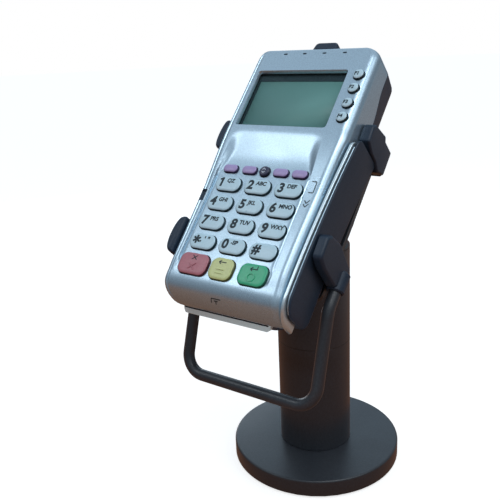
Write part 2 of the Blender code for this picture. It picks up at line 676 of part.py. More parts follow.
def add_inner_parts(frame):
    mat_left = KEY_COLUMNS[0] - 0.5 * KEY_SIZE[0] - 3.5 * MM
    mat_right = KEY_COLUMNS[2] + 0.5 * KEY_SIZE[0] + 1.5 * MM
    mat = rectangle(mat_left, mat_right, ACTION_Y - 7.5 * MM, SOFT_ROW_Y + 4 * MM)
    mat_mesh = prism("keypad_mat", mat, MAT_TOP_Z - MAT_THICKNESS, MAT_TOP_Z)
    add_part("keypad_mat", mat_mesh, MATERIALS["rubber"], frame)

    board_top = MAT_TOP_Z - MAT_THICKNESS - GAP
    board = rectangle(LEFT_X + 4 * MM, case_right(HEAD_Y) - 7 * MM, ACTION_Y - 3 * MM, SCREW_Y - 5 * MM)
    board_mesh = prism("main_board", board, board_top - BOARD_THICKNESS, board_top)
    add_part("main_board", board_mesh, MATERIALS["board"], frame)

    cell_top = board_top - BOARD_THICKNESS - GAP
    cell = prism("coin_cell", circle((-22 * MM, 62 * MM), 10 * MM, 24), cell_top - 3.2 * MM, cell_top)
    add_part("coin_cell", cell, MATERIALS["steel"], frame)

    tip = case_right(HEAD_Y) + 0.7 * MM
    head = rectangle(tip - HEAD_SIZE[0], tip, HEAD_Y - HEAD_SIZE[1] / 2, HEAD_Y + HEAD_SIZE[1] / 2)
    head_mesh = prism("mag_head", head, HEAD_Z - HEAD_SIZE[2] / 2, HEAD_Z + HEAD_SIZE[2] / 2)
    add_bevel(add_part("mag_head", head_mesh, MATERIALS["steel"], frame), 0.8 * MM)

    reader = rectangle(
        CARD_CENTRE_X - CARD_WIDTH / 2 - 2 * MM, CARD_CENTRE_X + CARD_WIDTH / 2 + 2 * MM,
        LOWER_NOSE_Y + 4 * MM, -10 * MM)
    reader_mesh = prism("card_connector", reader, CARD_SLOT_Z - 3 * MM, CARD_SLOT_Z + 3 * MM)
    connector = add_part("card_connector", reader_mesh, MATERIALS["black_plastic"], frame)
    card = rectangle(
        CARD_CENTRE_X - CARD_WIDTH / 2, CARD_CENTRE_X + CARD_WIDTH / 2, LOWER_NOSE_Y, -13 * MM)
    card_mesh = prism(
        "card_space", card, CARD_SLOT_Z - CARD_SLOT_HEIGHT / 2, CARD_SLOT_Z + CARD_SLOT_HEIGHT / 2)
    combine(connector, add_cutter("card_space", card_mesh, frame))

    lip = rounded_rectangle(
        (CARD_CENTRE_X, (LIP_FRONT_Y + LOWER_NOSE_Y - GAP) / 2),
        (2 * LIP_HALF_WIDTH, LOWER_NOSE_Y - GAP - LIP_FRONT_Y), 0.9 * MM)
    lip_mesh = prism("card_lip", lip, LIP_TOP_Z - LIP_HEIGHT, LIP_TOP_Z)
    add_part("card_lip", lip_mesh, MATERIALS["silver"], frame)

    socket = rectangle_about((PORT_X, PORT_Y), PORT_SIZE)
    port_mesh = prism("data_port", socket, REAR_Z + 0.5 * MM, REAR_Z + PORT_SIZE[2])
    port = add_part("data_port", port_mesh, MATERIALS["black_plastic"], frame)
    hollow = rectangle_about((PORT_X, PORT_Y), PORT_HOLLOW)
    hollow_mesh = prism("port_hollow", hollow, REAR_Z - 2 * MM, REAR_Z + PORT_HOLLOW[2])
    combine(port, add_cutter("port_hollow", hollow_mesh, frame))

    for side, x in SCREW_PLACES.items():
        head_top = REAR_Z - GAP
        profile = [
            (0.0, PARTING_TOP_Z), (SCREW_RADIUS, PARTING_TOP_Z), (SCREW_RADIUS, head_top),
            (SCREW_HEAD_RADIUS, head_top), (SCREW_HEAD_RADIUS, head_top - 1.4 * MM), (0.0, head_top - 1.8 * MM),
        ]
        turned(f"case_screw_{side}", profile, MATERIALS["steel"], frame, (x, SCREW_Y, 0.0), steps=12)


# ---- Cradle ----

def add_cradle(frame):
    waist = PLATE_WAIST_HALF_WIDTH
    half = PLATE_HALF_WIDTH
    corner = 4 * MM
    outline = arc((half - corner, PLATE_TOP_Y - corner), corner, 0, 90, ARC_STEPS)
    outline += arc((corner - half, PLATE_TOP_Y - corner), corner, 90, 180, ARC_STEPS)
    outline += [(-half, PLATE_WAIST_Y + half - waist), (-waist, PLATE_WAIST_Y)]
    outline += arc((corner - waist, PLATE_FOOT_Y + corner), corner, 180, 270, ARC_STEPS)
    outline += arc((waist - corner, PLATE_FOOT_Y + corner), corner, 270, 360, ARC_STEPS)
    outline += [(waist, PLATE_WAIST_Y), (half, PLATE_WAIST_Y + half - waist)]
    plate = prism("cradle_plate", outline, PLATE_REAR_Z, PLATE_FRONT_Z)
    add_part("cradle_plate", plate, MATERIALS["black_metal"], frame)

    pad = rectangle(-22 * MM, 22 * MM, -34 * MM, 48 * MM)
    pad_mesh = prism("cradle_pad", pad, PLATE_FRONT_Z + GAP, REAR_Z - GAP)
    add_part("cradle_pad", pad_mesh, MATERIALS["rubber"], frame)


def side_clip(name, frame, side, inner, outer, y_low, y_high, front, socket):
    """An L-shaped clip: a foot behind the plate and a wall up the terminal's side."""
    foot_top = PLATE_REAR_Z - GAP
    foot_bottom = foot_top - CLIP_FOOT_THICKNESS
    outline = [
        (side * CLIP_FOOT_INNER_X, foot_bottom), (side * (outer - 3 * MM), foot_bottom),
        (side * outer, CLIP_WALL_REAR_Z), (side * outer, front), (side * inner, front),
        (side * inner, foot_top), (side * CLIP_FOOT_INNER_X, foot_top),
    ]
    clip = add_part(name, prism(name, outline, y_low, y_high, along="y"), MATERIALS["black_plastic"], frame)
    add_bevel(clip, CLIP_ROUNDING)
    if not socket:
        return
    centre = (side * SOCKET_X, SOCKET_Z)
    boss = prism(f"{name}_boss", circle(centre, SOCKET_RADIUS, 24), SOCKET_MOUTH_Y, SOCKET_END_Y, along="y")
    combine(clip, add_cutter(f"{name}_boss", boss, frame), "UNION")
    bore = prism(
        f"{name}_bore", circle(centre, HANDLE_RADIUS + GAP, 24),
        SOCKET_MOUTH_Y - 5 * MM, HANDLE_TOP_Y + 2 * MM, along="y")
    combine(clip, add_cutter(f"{name}_bore", bore, frame))


def add_clips(frame):
    side_clip("clip_right_upper", frame, 1, 39.5 * MM, 46 * MM, 38.5 * MM, 53.5 * MM, -9 * MM, False)
    side_clip("clip_left_upper", frame, -1, 43.5 * MM, 47.4 * MM, 24 * MM, 44 * MM, 2 * MM, False)
    side_clip("clip_right_lower", frame, 1, 41.3 * MM, 47 * MM, -37 * MM, -20 * MM, -4 * MM, True)
    side_clip("clip_left_lower", frame, -1, 43.2 * MM, 48.5 * MM, -46 * MM, -24.5 * MM, 2 * MM, True)

    foot_top = PLATE_REAR_Z - GAP
    foot_bottom = foot_top - CLIP_FOOT_THICKNESS
    wall_low = TOP_Y + 0.4 * MM
    wall_high = TOP_Y + 6.4 * MM
    outline = [
        (52 * MM, foot_bottom), (wall_high - 3 * MM, foot_bottom), (wall_high, CLIP_WALL_REAR_Z),
        (wall_high, 1 * MM), (wall_low, 1 * MM), (wall_low, foot_top), (52 * MM, foot_top),
    ]
    clip = prism("clip_top", outline, -8 * MM, 8 * MM, along="x")
    add_bevel(add_part("clip_top", clip, MATERIALS["black_plastic"], frame), CLIP_ROUNDING)


def add_handle(frame):
    right = [
        Vector((SOCKET_X, HANDLE_TOP_Y, SOCKET_Z)),
        Vector((SOCKET_X, HANDLE_KNEE_Y, SOCKET_Z)),
        Vector((SOCKET_X, *HANDLE_BAR)),
    ]
    left = [Vector((-p.x, p.y, p.z)) for p in reversed(right)]
    radii = [HANDLE_KNEE_RADIUS, HANDLE_CORNER_RADIUS, HANDLE_CORNER_RADIUS, HANDLE_KNEE_RADIUS]
    points = rounded_path(right + left, radii, steps=6)
    add_part("handle", tube("handle", points, HANDLE_RADIUS), MATERIALS["black_metal"], frame)


def add_knuckle(frame):
    """The lug that hangs from the cradle plate into the yoke; drawn in the face frame."""
    hinge = (FACE_BACK, -FACE_RISE)
    flange_top = PLATE_REAR_Z - GAP
    flange_bottom = flange_top - FLANGE_THICKNESS
    flange = rectangle(-FLANGE_HALF_WIDTH, FLANGE_HALF_WIDTH, 2 * MM, 36 * MM)
    part = add_part(
        "tilt_knuckle", prism("tilt_knuckle", flange, flange_bottom, flange_top),
        MATERIALS["black_metal"], frame)
    lug = arc(hinge, EAR_RADIUS, 180, 360, 12)
    lug += [(hinge[0] + 14 * MM, flange_top - 1 * MM), (hinge[0] - 14 * MM, flange_top - 1 * MM)]
    lug_mesh = prism("knuckle_lug", lug, -LUG_HALF_WIDTH, LUG_HALF_WIDTH, along="x")
    combine(part, add_cutter("knuckle_lug", lug_mesh, frame), "UNION")
    bore = prism(
        "knuckle_bore", circle(hinge, HINGE_BOLT_RADIUS + GAP), -LUG_HALF_WIDTH - MM, LUG_HALF_WIDTH + MM, along="x")
    combine(part, add_cutter("knuckle_bore", bore, frame))


# ---- Column and base ----

def hinge_parts(frame):
    """Yoke, bolt, nut and washers, drawn about the hinge line through the frame's origin."""
    cap_bottom = POLE_TOP + GAP - HINGE_Z
    cap_top = cap_bottom + CAP_HEIGHT
    plug_radius = POLE_RADIUS - POLE_WALL - GAP
    profile = [
        (0.0, cap_top), (POLE_RADIUS - CAP_EDGE, cap_top), (POLE_RADIUS, cap_top - CAP_EDGE),
        (POLE_RADIUS, cap_bottom), (plug_radius, cap_bottom), (plug_radius, cap_bottom - CAP_PLUG_DEPTH),
        (0.0, cap_bottom - CAP_PLUG_DEPTH),
    ]
    yoke = turned("tilt_yoke", profile, MATERIALS["black_metal"], frame, (0.0, -HINGE_Y, 0.0))
    inner = LUG_HALF_WIDTH + WASHER_THICKNESS + 2 * GAP
    outer = inner + EAR_THICKNESS
    ear = arc((0.0, 0.0), EAR_RADIUS, 0, 180, 12)
    ear += [(-EAR_RADIUS - 2 * MM, cap_top - MM), (EAR_RADIUS + 1 * MM, cap_top - MM)]
    for side, low, high in (("right", inner, outer), ("left", -outer, -inner)):
        ear_mesh = prism(f"ear_{side}", ear, low, high, along="x")
        combine(yoke, add_cutter(f"ear_{side}", ear_mesh, frame), "UNION")
    bore = circle((0.0, 0.0), HINGE_BOLT_RADIUS + GAP)
    bore_mesh = prism("yoke_bore", bore, -outer - MM, outer + MM, along="x")
    combine(yoke, add_cutter("yoke_bore", bore_mesh, frame))

    for side, low in (("right", LUG_HALF_WIDTH + GAP), ("left", -LUG_HALF_WIDTH - GAP - WASHER_THICKNESS)):
        rings = [circle((0.0, 0.0), WASHER_RADIUS, 24), circle((0.0, 0.0), HINGE_BOLT_RADIUS + GAP, 24)]
        washer = prism(f"friction_washer_{side}", rings, low, low + WASHER_THICKNESS, along="x")
        add_part(f"friction_washer_{side}", washer, MATERIALS["friction"], frame)

    head_low = outer + GAP
    stem_end = -outer - NUT_HEIGHT - 1.5 * MM
    bolt = prism("tilt_bolt", circle((0.0, 0.0), HINGE_BOLT_RADIUS, 24), stem_end, head_low + MM, along="x")
    bolt_part = add_part("tilt_bolt", bolt, MATERIALS["steel"], frame)
    head = prism("tilt_bolt_head", circle((0.0, 0.0), NUT_RADIUS, 24), head_low, head_low + NUT_HEIGHT, along="x")
    combine(bolt_part, add_cutter("tilt_bolt_head", head, frame), "UNION")
    nut_rings = [circle((0.0, 0.0), NUT_RADIUS, 6), circle((0.0, 0.0), HINGE_BOLT_RADIUS + GAP, 24)]
    nut = prism("tilt_nut", nut_rings, -outer - GAP - NUT_HEIGHT, -outer - GAP, along="x")
    add_part("tilt_nut", nut, MATERIALS["steel"], frame)


def add_column(frame):
    inner = POLE_RADIUS - POLE_WALL
    bottom = SWIVEL_RING / 2 + GAP
    top = POLE_TOP - SWIVEL_HEIGHT
    profile = [(POLE_RADIUS, top), (POLE_RADIUS, bottom), (inner, bottom), (inner, top)]
    turned("pole_upper", profile, MATERIALS["black_metal"], frame, closed=True)


def add_base(frame):
    bottom = PAD_THICKNESS + GAP
    pad = [(0.0, PAD_THICKNESS), (PAD_RADIUS, PAD_THICKNESS), (PAD_RADIUS, 0.0), (0.0, 0.0)]
    turned("base_pad", pad, MATERIALS["rubber"], frame)
    recess = bottom + BOLT_HEAD_HEIGHT + 2 * GAP
    hole = BOLT_RADIUS + GAP
    rim = arc((BASE_RADIUS - BASE_ROUNDING, BASE_TOP - BASE_ROUNDING), BASE_ROUNDING, 90, 0, 3)
    plate = [(hole, BASE_TOP)] + rim + [
        (BASE_RADIUS, bottom), (BOLT_HEAD_RADIUS + GAP, bottom), (BOLT_HEAD_RADIUS + GAP, recess), (hole, recess)]
    turned("base_plate", plate, MATERIALS["black_metal"], frame, closed=True, steps=48)

    head_bottom = bottom + GAP
    head_top = head_bottom + BOLT_HEAD_HEIGHT
    bolt = [
        (0.0, BOLT_TOP), (BOLT_RADIUS, BOLT_TOP), (BOLT_RADIUS, head_top),
        (BOLT_HEAD_RADIUS, head_top), (BOLT_HEAD_RADIUS, head_bottom), (0.0, head_bottom)]
    turned("base_bolt", bolt, MATERIALS["steel"], frame, steps=24)

    inner = POLE_RADIUS - POLE_WALL
    foot = BASE_TOP + GAP
    top = SWIVEL_HEIGHT - SWIVEL_RING / 2 - GAP
    pole = [
        (POLE_RADIUS, top), (POLE_RADIUS, foot), (hole, foot), (hole, foot + POLE_FLOOR),
        (inner, foot + POLE_FLOOR), (inner, top)]
    turned("pole_lower", pole, MATERIALS["black_metal"], frame, closed=True)

    sleeve = inner - GAP
    ring_low = SWIVEL_HEIGHT - SWIVEL_RING / 2
    ring_high = SWIVEL_HEIGHT + SWIVEL_RING / 2
    bush = [
        (sleeve, ring_high + BUSH_REACH), (sleeve, ring_high), (POLE_RADIUS, ring_high),
        (POLE_RADIUS, ring_low), (sleeve, ring_low), (sleeve, ring_low - BUSH_REACH),
        (sleeve - BUSH_WALL, ring_low - BUSH_REACH), (sleeve - BUSH_WALL, ring_high + BUSH_REACH)]
    turned("swivel_bush", bush, MATERIALS["bush"], frame, closed=True)


# ---- Build ----

clear_scene()
PARTS = make_collection("payment_terminal")
CUTTERS = make_collection("cutters")
MATERIALS = {
    "silver": make_material("silver_paint", (0.50, 0.62, 0.72), 0.32, 0.6),
    "black_plastic": make_material("black_plastic", (0.020, 0.024, 0.030), 0.42),
    "black_metal": make_material("black_powder_coat", (0.018, 0.018, 0.020), 0.38, 0.1),
    "steel": make_material("zinc_steel", (0.55, 0.56, 0.58), 0.30, 1.0),
    "rubber": make_material("rubber", (0.025, 0.025, 0.027), 0.75),
    "bush": make_material("acetal_bush", (0.03, 0.03, 0.03), 0.45),
    "friction": make_material("friction_washer", (0.10, 0.07, 0.05), 0.7),
    "glass": make_material("display_window", (0.45, 0.55, 0.55), 0.08),
    "lcd": make_material("lcd_green", (0.10, 0.22, 0.21), 0.35),
    "light_pipe": make_material("smoked_light_pipe", (0.08, 0.10, 0.12), 0.2),
    "board": make_material("circuit_board", (0.02, 0.16, 0.07), 0.45),
    "key_silver": make_material("key_silver", (0.50, 0.64, 0.70), 0.4),
    "key_dark": make_material("key_dark", (0.03, 0.05, 0.09), 0.4),
    "key_purple": make_material("key_purple", (0.46, 0.37, 0.67), 0.4),
    "key_cancel": make_material("key_red", (0.53, 0.21, 0.27), 0.4),
    "key_clear": make_material("key_yellow", (0.69, 0.74, 0.35), 0.4),
    "key_enter": make_material("key_green", (0.08, 0.51, 0.29), 0.4),
}

stand_frame = make_frame("stand_frame", (0.0, 0.0, 0.0))
swivel_frame = make_frame("swivel_axis", (0.0, 0.0, SWIVEL_HEIGHT), parent=stand_frame)
hinge_frame = make_frame("yoke_hinge", (0.0, HINGE_Y, HINGE_Z - SWIVEL_HEIGHT), parent=swivel_frame)
tilt_frame = make_frame("tilt_axis", (0.0, 0.0, 0.0), FACE_TILT, parent=hinge_frame)
face_frame = make_frame("face_frame", (0.0, -FACE_BACK, FACE_RISE), parent=tilt_frame)

add_base(stand_frame)
add_column(swivel_frame)
hinge_parts(hinge_frame)
add_knuckle(face_frame)
add_cradle(face_frame)
add_clips(face_frame)
add_handle(face_frame)
add_lower_case(face_frame)
add_upper_case(face_frame, add_keys(face_frame))
add_swipe_track(face_frame)
add_display(face_frame)
add_status_lights(face_frame)
add_inner_parts(face_frame)
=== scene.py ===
"""The looks of the card payment terminal: its finished shells, keys, cradle and stand.

Every piece of the tilting head is drawn in the face frame, which is worked out from the
model's joints: x across the face, y up the face, z out of it, with its zero on the keypad
panel at the first row of number keys. The stand is drawn about the pole's axis.
Outlines are in millimetres, and a mesh is scaled to metres as it is made.
"""

import json
import math

import bmesh
import bpy
from mathutils import Matrix, Vector


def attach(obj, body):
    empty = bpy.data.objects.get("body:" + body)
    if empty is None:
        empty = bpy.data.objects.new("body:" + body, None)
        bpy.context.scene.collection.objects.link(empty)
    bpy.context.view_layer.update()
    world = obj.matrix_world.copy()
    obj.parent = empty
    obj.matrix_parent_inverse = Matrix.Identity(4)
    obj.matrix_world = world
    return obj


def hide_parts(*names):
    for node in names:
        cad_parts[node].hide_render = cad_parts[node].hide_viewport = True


MM = 0.001

# Face frame against the tilt hinge, in millimetres
FACE_BACK = 18.55
FACE_RISE = 60.7

# Terminal shells
TOP_Y = 97.0
NOSE_Y = -71.5
LEFT_X = -43.0
RIGHT_X = 39.0
LEFT_TAPER = 1.2
PLATEAU_Z = 3.3
BORDER_Z = 0.7
REAR_Z = -33.2
PARTING_TOP_Z = -14.5
PARTING_NOSE_Z = -18.6
PARTING_START_Y = 82.0
PARTING_END_Y = 58.0
SEAM = 0.35
TOP_CORNER = 8.0
NOSE_CORNER = 10.0
NOSE_RIGHT_CORNER = 1.2
NOSE_ROUNDING = 13.9
TOP_ROUNDING = 3.0
REAR_ROUNDING = 7.0
LOWER_NOSE_Y = -68.6
NOSE_REAR_RISE = 3.5
SIDE_DRAFT = 1.2
SHELL_WALL = 1.8
NOSE_TUCK = 2.6
NOSE_TUCK_Z = -11.5
NOSE_TUCK_CURVE = 1.6
NOSE_LEVELS = (-18.55, -17.6, -16.6, -15.6, -14.6)
REAR_GAP = 1.7

# Front shell's edges: how far in and how far down they are rounded
EDGE_STEPS = 9
EDGE_CREASE = 0.4
EDGE_ROOM = 0.8
CORNER_SQUEEZE = 30.0
LEFT_EDGE = (3.2, 5.0)
RIGHT_EDGE_TOP = (5.6, 6.0)
RIGHT_EDGE_TRACK = (4.6, 5.0)
HOLLOW_FOOT_Z = -24.0
FRONT_CHAMFER = 3.0
REAR_CHAMFER = 6.0

# Keypad tray: the hollow that holds the keys and rises to the display
TRAY = (-36.4, 26.4, -60.0, 38.5)
TRAY_CORNER = 9.0
TRAY_FOOT_Y = 12.0
TRAY_HEAD_Y = 38.0
GROOVE_DEPTH = 0.75
LEFT_GROOVE_X = -35.7
RIGHT_GROOVE_X = 25.7
TRAY_STEEP = 0.8
TRAY_GENTLE = 5.5
TRAY_HOLLOW_CURVE = 1.35
TRAY_MARGIN = 0.7
TRAY_EDGE_LINES = 9
TRAY_LINE_STEP = 0.2
TRAY_LINE_GAP = 0.8
TRAY_FLOOR_LINES = 34
SHIELD_SLOT = ((-39.2, -8.2), (4.4, 7.6))
SHIELD_SLOT_Z = -2.2
OPENING_LOW_Z = -8.0
OPENING_HIGH_Z = 9.0
SEAM_SLOT = ((26.0, -7.4), (1.0, 9.0))

# Swipe track
RAIL_END_X = 37.3
RAIL_END_Y = -50.0
RAIL_FLARE = 4.2
RAIL_TOP_Y = 36.0
RAIL_HALF = 1.2
RAIL_TOP_Z = -0.9
RAIL_EDGE = 0.45
RAIL_INSET = (0.25, 0.45)
RAIL_DROP_Y = -62.0
TRACK_GAP = 1.0
TRACK_BOTTOM_Z = -14.3
HOUSING_OUTER = 3.0
HOUSING_TOP_Z = -2.5
HOUSING_REAR_Z = -29.5
HOUSING_TOP_Y = 37.6
HOUSING_NOSE_Y = -66.4
HOUSING_NOSE_CORNER = 10.0
HOUSING_HOOK = 3.0
HOUSING_GAP = 0.25
HOUSING_REAR_CORNER = 7.0
HOUSING_CHAMFER = 0.3
HOUSING_FRONT_EDGE = 0.7
HOUSING_REAR_EDGE = 2.5
HOUSING_REACH = 1.4
RAIL_HOOK = 4.0
TRACK_LOW_Y = -57.0
TRACK_HIGH_Y = 32.0
TRACK_STEPS = 30

# Display
DISPLAY_CENTRE = (-6.15, 59.75)
DISPLAY_OPENING = (59.6, 38.4)
DISPLAY_CORNER = 1.0
BEZEL_WIDTH = 0.9
BEZEL_FOOT_Z = 1.6
SEAL_Z = 1.25
# Dark sheet under the window that paints the bezel's shadow on the display; its margins (left,
# right, low, high) leave a wide band at the top and a thin one at the left
SHADOW_BAND_Z = -0.28
SHADOW_BAND_MARGINS = (1.3, -0.8, -0.8, 4.6)

# Keys
KEY_COLUMNS = (-24.0, -4.0, 16.1)
KEY_ROW_PITCH = 12.5
KEY_SIZE = (17.0, 9.2)
KEY_CORNER = 4.3
SOFT_ROW_Y = 10.5
SOFT_COLUMNS = (-27.2, -14.0, 6.9, 19.1)
SOFT_SIZE = (9.6, 5.0)
SCROLL_X = -3.9
ROUND_KEY_RADIUS = 3.2
FUNCTION_X = 32.4
FUNCTION_ROWS = (75.6, 66.2, 56.0, 46.6)
ACTION_Y = -51.2
ACTION_COLUMNS = (-23.7, -4.6, 15.6)
ACTION_SIZE = ((19.4, 12.6), (14.8, 12.6), (17.2, 12.2))
ACTION_CORNER = 4.2
KEY_TOP = 2.0
KEY_PROFILE = (
    (0.0, -3.0), (0.0, 1.05), (-0.12, 1.35), (-0.38, 1.62), (-0.75, 1.80), (-1.2, 1.88),
    (-2.0, 1.94))
# Below this height on a key its faces take a darker copy of its colour: painted shade on its sides
KEY_SHADE_TOP = 1.3
DISHED_CROWN = 1.80
KEY_CLEARANCE = 0.4
LIGHT_COLUMNS = (-22.5, -9.2, 4.2, 17.6)
LIGHT_Y = 92.3
LIGHT_SIZE = (2.6, 1.1)

# Legends: what is printed on a key, large and small
LETTER_LEAN = 0.04
PRINT_HEIGHT = 0.06
PRINT_SUNK = 0.04
SIGN_WIDTH = 0.5
RAISED_WIDTH = 0.55
RAISED_HEIGHT = 0.35
KEY_LEGENDS = {
    "1": ("1", "QZ"), "2": ("2", "ABC"), "3": ("3", "DEF"), "4": ("4", "GHI"),
    "5": ("5", "JKL"), "6": ("6", "MNO"), "7": ("7", "PRS"), "8": ("8", "TUV"),
    "9": ("9", "WXY"), "star": ("*", ", ' \""), "0": ("0", "-SP"), "hash": ("#", ""),
}

# Both prints of a key: corner from the key's middle (x, y), letter size and boldness
KEY_LAYOUT = ((-6.2, -1.9, 7.7, 0.31), (-0.9, 0.8, 3.4, 0.14))
STAR_LAYOUT = ((-6.2, -4.6, 10.5, 0.31), (-1.4, -0.3, 4.6, 0.14))
FLAG_OF_ONE = ((-4.3, 3.2), (-5.9, 2.2))
FLAG_WIDTH = 0.95

# Strokes on the action keys, as printed and as raised; the last has a raised ring instead
ACTION_SIGNS = {
    "cancel": ("red",
               [((-1.6, 2.2), (1.6, 4.8)), ((-1.6, 4.8), (1.6, 2.2))],
               [((-2.2, -3.6), (2.2, 0.2)), ((-2.2, 0.2), (2.2, -3.6))]),
    "clear": ("yellow",
              [((-2.4, 3.6), (2.4, 3.6)), ((-2.4, 3.6), (-0.9, 4.7)), ((-2.4, 3.6), (-0.9, 2.5))],
              [((-2.6, -0.6), (2.6, -0.6)), ((-2.6, -2.8), (2.6, -2.8))]),
    "enter": ("green",
              [((-2.0, 2.9), (2.2, 2.9)), ((2.2, 2.7), (2.2, 4.9)),
               ((-2.0, 2.9), (-0.6, 4.0)), ((-2.0, 2.9), (-0.6, 1.8))],
              []),
}
RAISED_RING = ((1.9, -0.05), (1.9, 0.35), (2.5, 0.35), (2.5, -0.05))
FINGER_DOT = ((0.0, 0.0), (0.55, 0.0), (0.45, 0.28), (0.0, 0.38))
CARD_OUTLINE = ((28.6, 6.6), (31.5, 6.6), (31.3, 0.0), (28.4, 0.0))
ARROW_ROWS = (-4.8, -7.0)
MARK_WIDTH = 0.6
CARD_SIGN_HEIGHT = 0.8
CARD_SIGN = (
    ((-3.0, 1.0), (3.0, 1.0)), ((-3.0, 1.0), (-3.0, -1.2)),
    ((-1.2, -0.1), (1.2, -0.1)), ((0.0, -0.1), (0.0, -1.6)))

# Card slot and ports
CARD_CENTRE_X = -5.0
CARD_WIDTH = 54.6
CARD_SLOT_Z = -19.4
NOSE_MARK = (-3.5, -67.5)
SCREW_X = (-31.0, 27.0)
SCREW_Y = 90.0
PORT = ((-20.0, 78.0), (16.6, 17.2))
VENT_COUNT = 7
VENT_X = 14.0
VENT_Y = 69.5
VENT_PITCH = 2.6
VENT_SIZE = (24.0, 1.1)
REAR_FOOT = ((0.0, 0.0), (3.6, 0.0), (3.4, -0.9), (2.9, -1.2), (0.0, -1.2))
REAR_FEET = ((-30.0, 68.0), (30.0, 66.5), (-27.0, -54.0), (24.0, -54.0))

# Card lip: its sides and back, and each level's (step back from the front, height)
LIP_SPAN = (-36.0, 23.5, -60.0)
LIP_FRONT_Y = -72.3
LIP_LEVELS = ((0.3, -22.9), (0.0, -22.6), (0.0, -22.1), (1.9, -20.15), (2.1, -19.95))
# A black strip on the lip's top just under the nose: painted shade in the mouth of the card slot
LIP_SLOT_SHADE = ((-5.8, -67.1), (57.0, 6.1))

# Cradle
PLATE_FRONT_Z = -35.0
PLATE_REAR_Z = -38.0
FOOT_TOP_Z = -38.3
FOOT_BOTTOM_Z = -41.0
SOCKET_X = 44.5
SOCKET_Y = -39.0
SOCKET_Z = -34.5
SOCKET_RADIUS = 5.1
SOCKET_LENGTH = 12.0
SOCKET_CHAMFERS = (0.7, 1.2)
HANDLE_RADIUS = 3.5
HANDLE_TOP_Y = -30.0
HANDLE_KNEE_Y = -49.9
HANDLE_BAR = (-97.8, -58.3)
HANDLE_KNEE_RADIUS = 16.0
HANDLE_CORNER_RADIUS = 12.0
PLATE_CORNERS = (
    (39.0, 62.0), (-39.0, 62.0), (-39.0, -15.5), (-37.5, -17.0), (-37.5, -46.0),
    (37.5, -46.0), (37.5, -17.0), (39.0, -15.5))
FOOT_INNER_X = 18.0
CLIP_SCREWS = ((26.0, 46.0), (27.0, -28.5), (-27.0, 34.0), (-27.0, -35.0), (0.0, 70.0))
KNUCKLE_SCREWS = ((-11.0, 7.0), (11.0, 7.0), (-11.0, 31.0), (11.0, 31.0))

# Right clips: side view (y, z) with its corner radii; inner and outer x and rounding of
# the wall; outer x, low y and high y of the foot
RIGHT_CLIPS = (
    ("upper",
     (((41.2, -9.3), (50.5, -8.6), (53.2, -11.0), (56.0, -25.5), (53.6, -27.4),
       (53.4, -38.6), (38.0, -38.8), (34.9, -31.0), (37.7, -24.7), (38.2, -17.9)),
      (1.2, 1.5, 1.5, 1.0, 0.6, 1.0, 1.0, 1.5, 1.0, 1.5)),
     (39.6, 46.0, 1.3), (43.5, 38.5, 53.0)),
    ("lower",
     (((-33.5, -4.0), (-21.5, -3.5), (-18.6, -7.5), (-17.4, -19.0), (-21.5, -32.0),
       (-23.0, -38.6), (-36.0, -38.6), (-38.6, -28.0), (-36.5, -12.0)),
      (3.0, 3.5, 4.0, 5.0, 4.0, 2.0, 3.0, 6.0, 6.0)),
     (41.6, 47.0, 1.8), (44.5, -37.0, -24.0)),
)

# Left clips: inner x, outer x, low y and high y of the wall; its rounding; the foot
LEFT_CLIPS = (
    ("upper", (-43.4, -47.2, 24.2, 44.0), 1.9, (44.6, 25.0, 43.0)),
    ("lower", (-43.2, -49.0, -46.5, -23.5), 2.3, (46.0, -45.0, -25.5)),
)
WALL_FOOT_Z = -38.8
WALL_TOP_Z = 2.0
LOBE_FULLNESS = 0.75
CLIP_EDGE = 0.35
DOME_STEPS = 7
LOBE_STEPS = 24
TOP_TONGUE = (((-7.6, 97.5), (9.0, 97.5), (8.2, 103.3), (-6.4, 103.3)), (0.4, 0.4, 2.6, 2.6))
TOP_FOOT = ((0.0, 76.5), (15.0, 49.0))
PLATE_SLOTS = ((50.0, 12.0), (-37.0, 9.0))
PLATE_SLOT_X = 9.0
PLATE_SLOT_WIDTH = 5.0

# Screws, as shares of the head's radius
SCREW_HEAD = 0.55
SCREW_SOCKET = 0.45
SOCKET_DEPTH = 0.35

# Stand
BASE_RADIUS = 54.99
BASE_TOP = 12.3
BASE_BOTTOM = 1.5
BASE_EDGES = (1.3, 0.6)
POLE_RADIUS = 23.4
POLE_BORE = 20.9
POLE_EDGE = 0.12
SWIVEL_HEIGHT = 84.5
POLE_TOP = 146.0
SPINDLE_BORE = 5.3
BASE_RECESS = (8.8, 6.6)

# Finishes
GLOSS_SCALE = 0.05
RELIEF_DEPTH = 0.02
DOT_PITCH = 0.44
DOT_GAP = 0.03

# Light around the object: linear colours, each at the sine of its height above the horizon
GLOW = (
    (-1.0, (0.19, 0.090, 0.052)),
    (-0.12, (0.27, 0.125, 0.068)),
    (0.06, (0.14, 0.145, 0.16)),
    (0.28, (0.19, 0.22, 0.25)),
    (0.48, (0.27, 0.31, 0.35)),
    (0.62, (0.43, 0.49, 0.55)),
    (0.75, (0.51, 0.59, 0.66)),
    (0.85, (0.46, 0.54, 0.62)),
    (1.0, (0.42, 0.49, 0.56)),
)

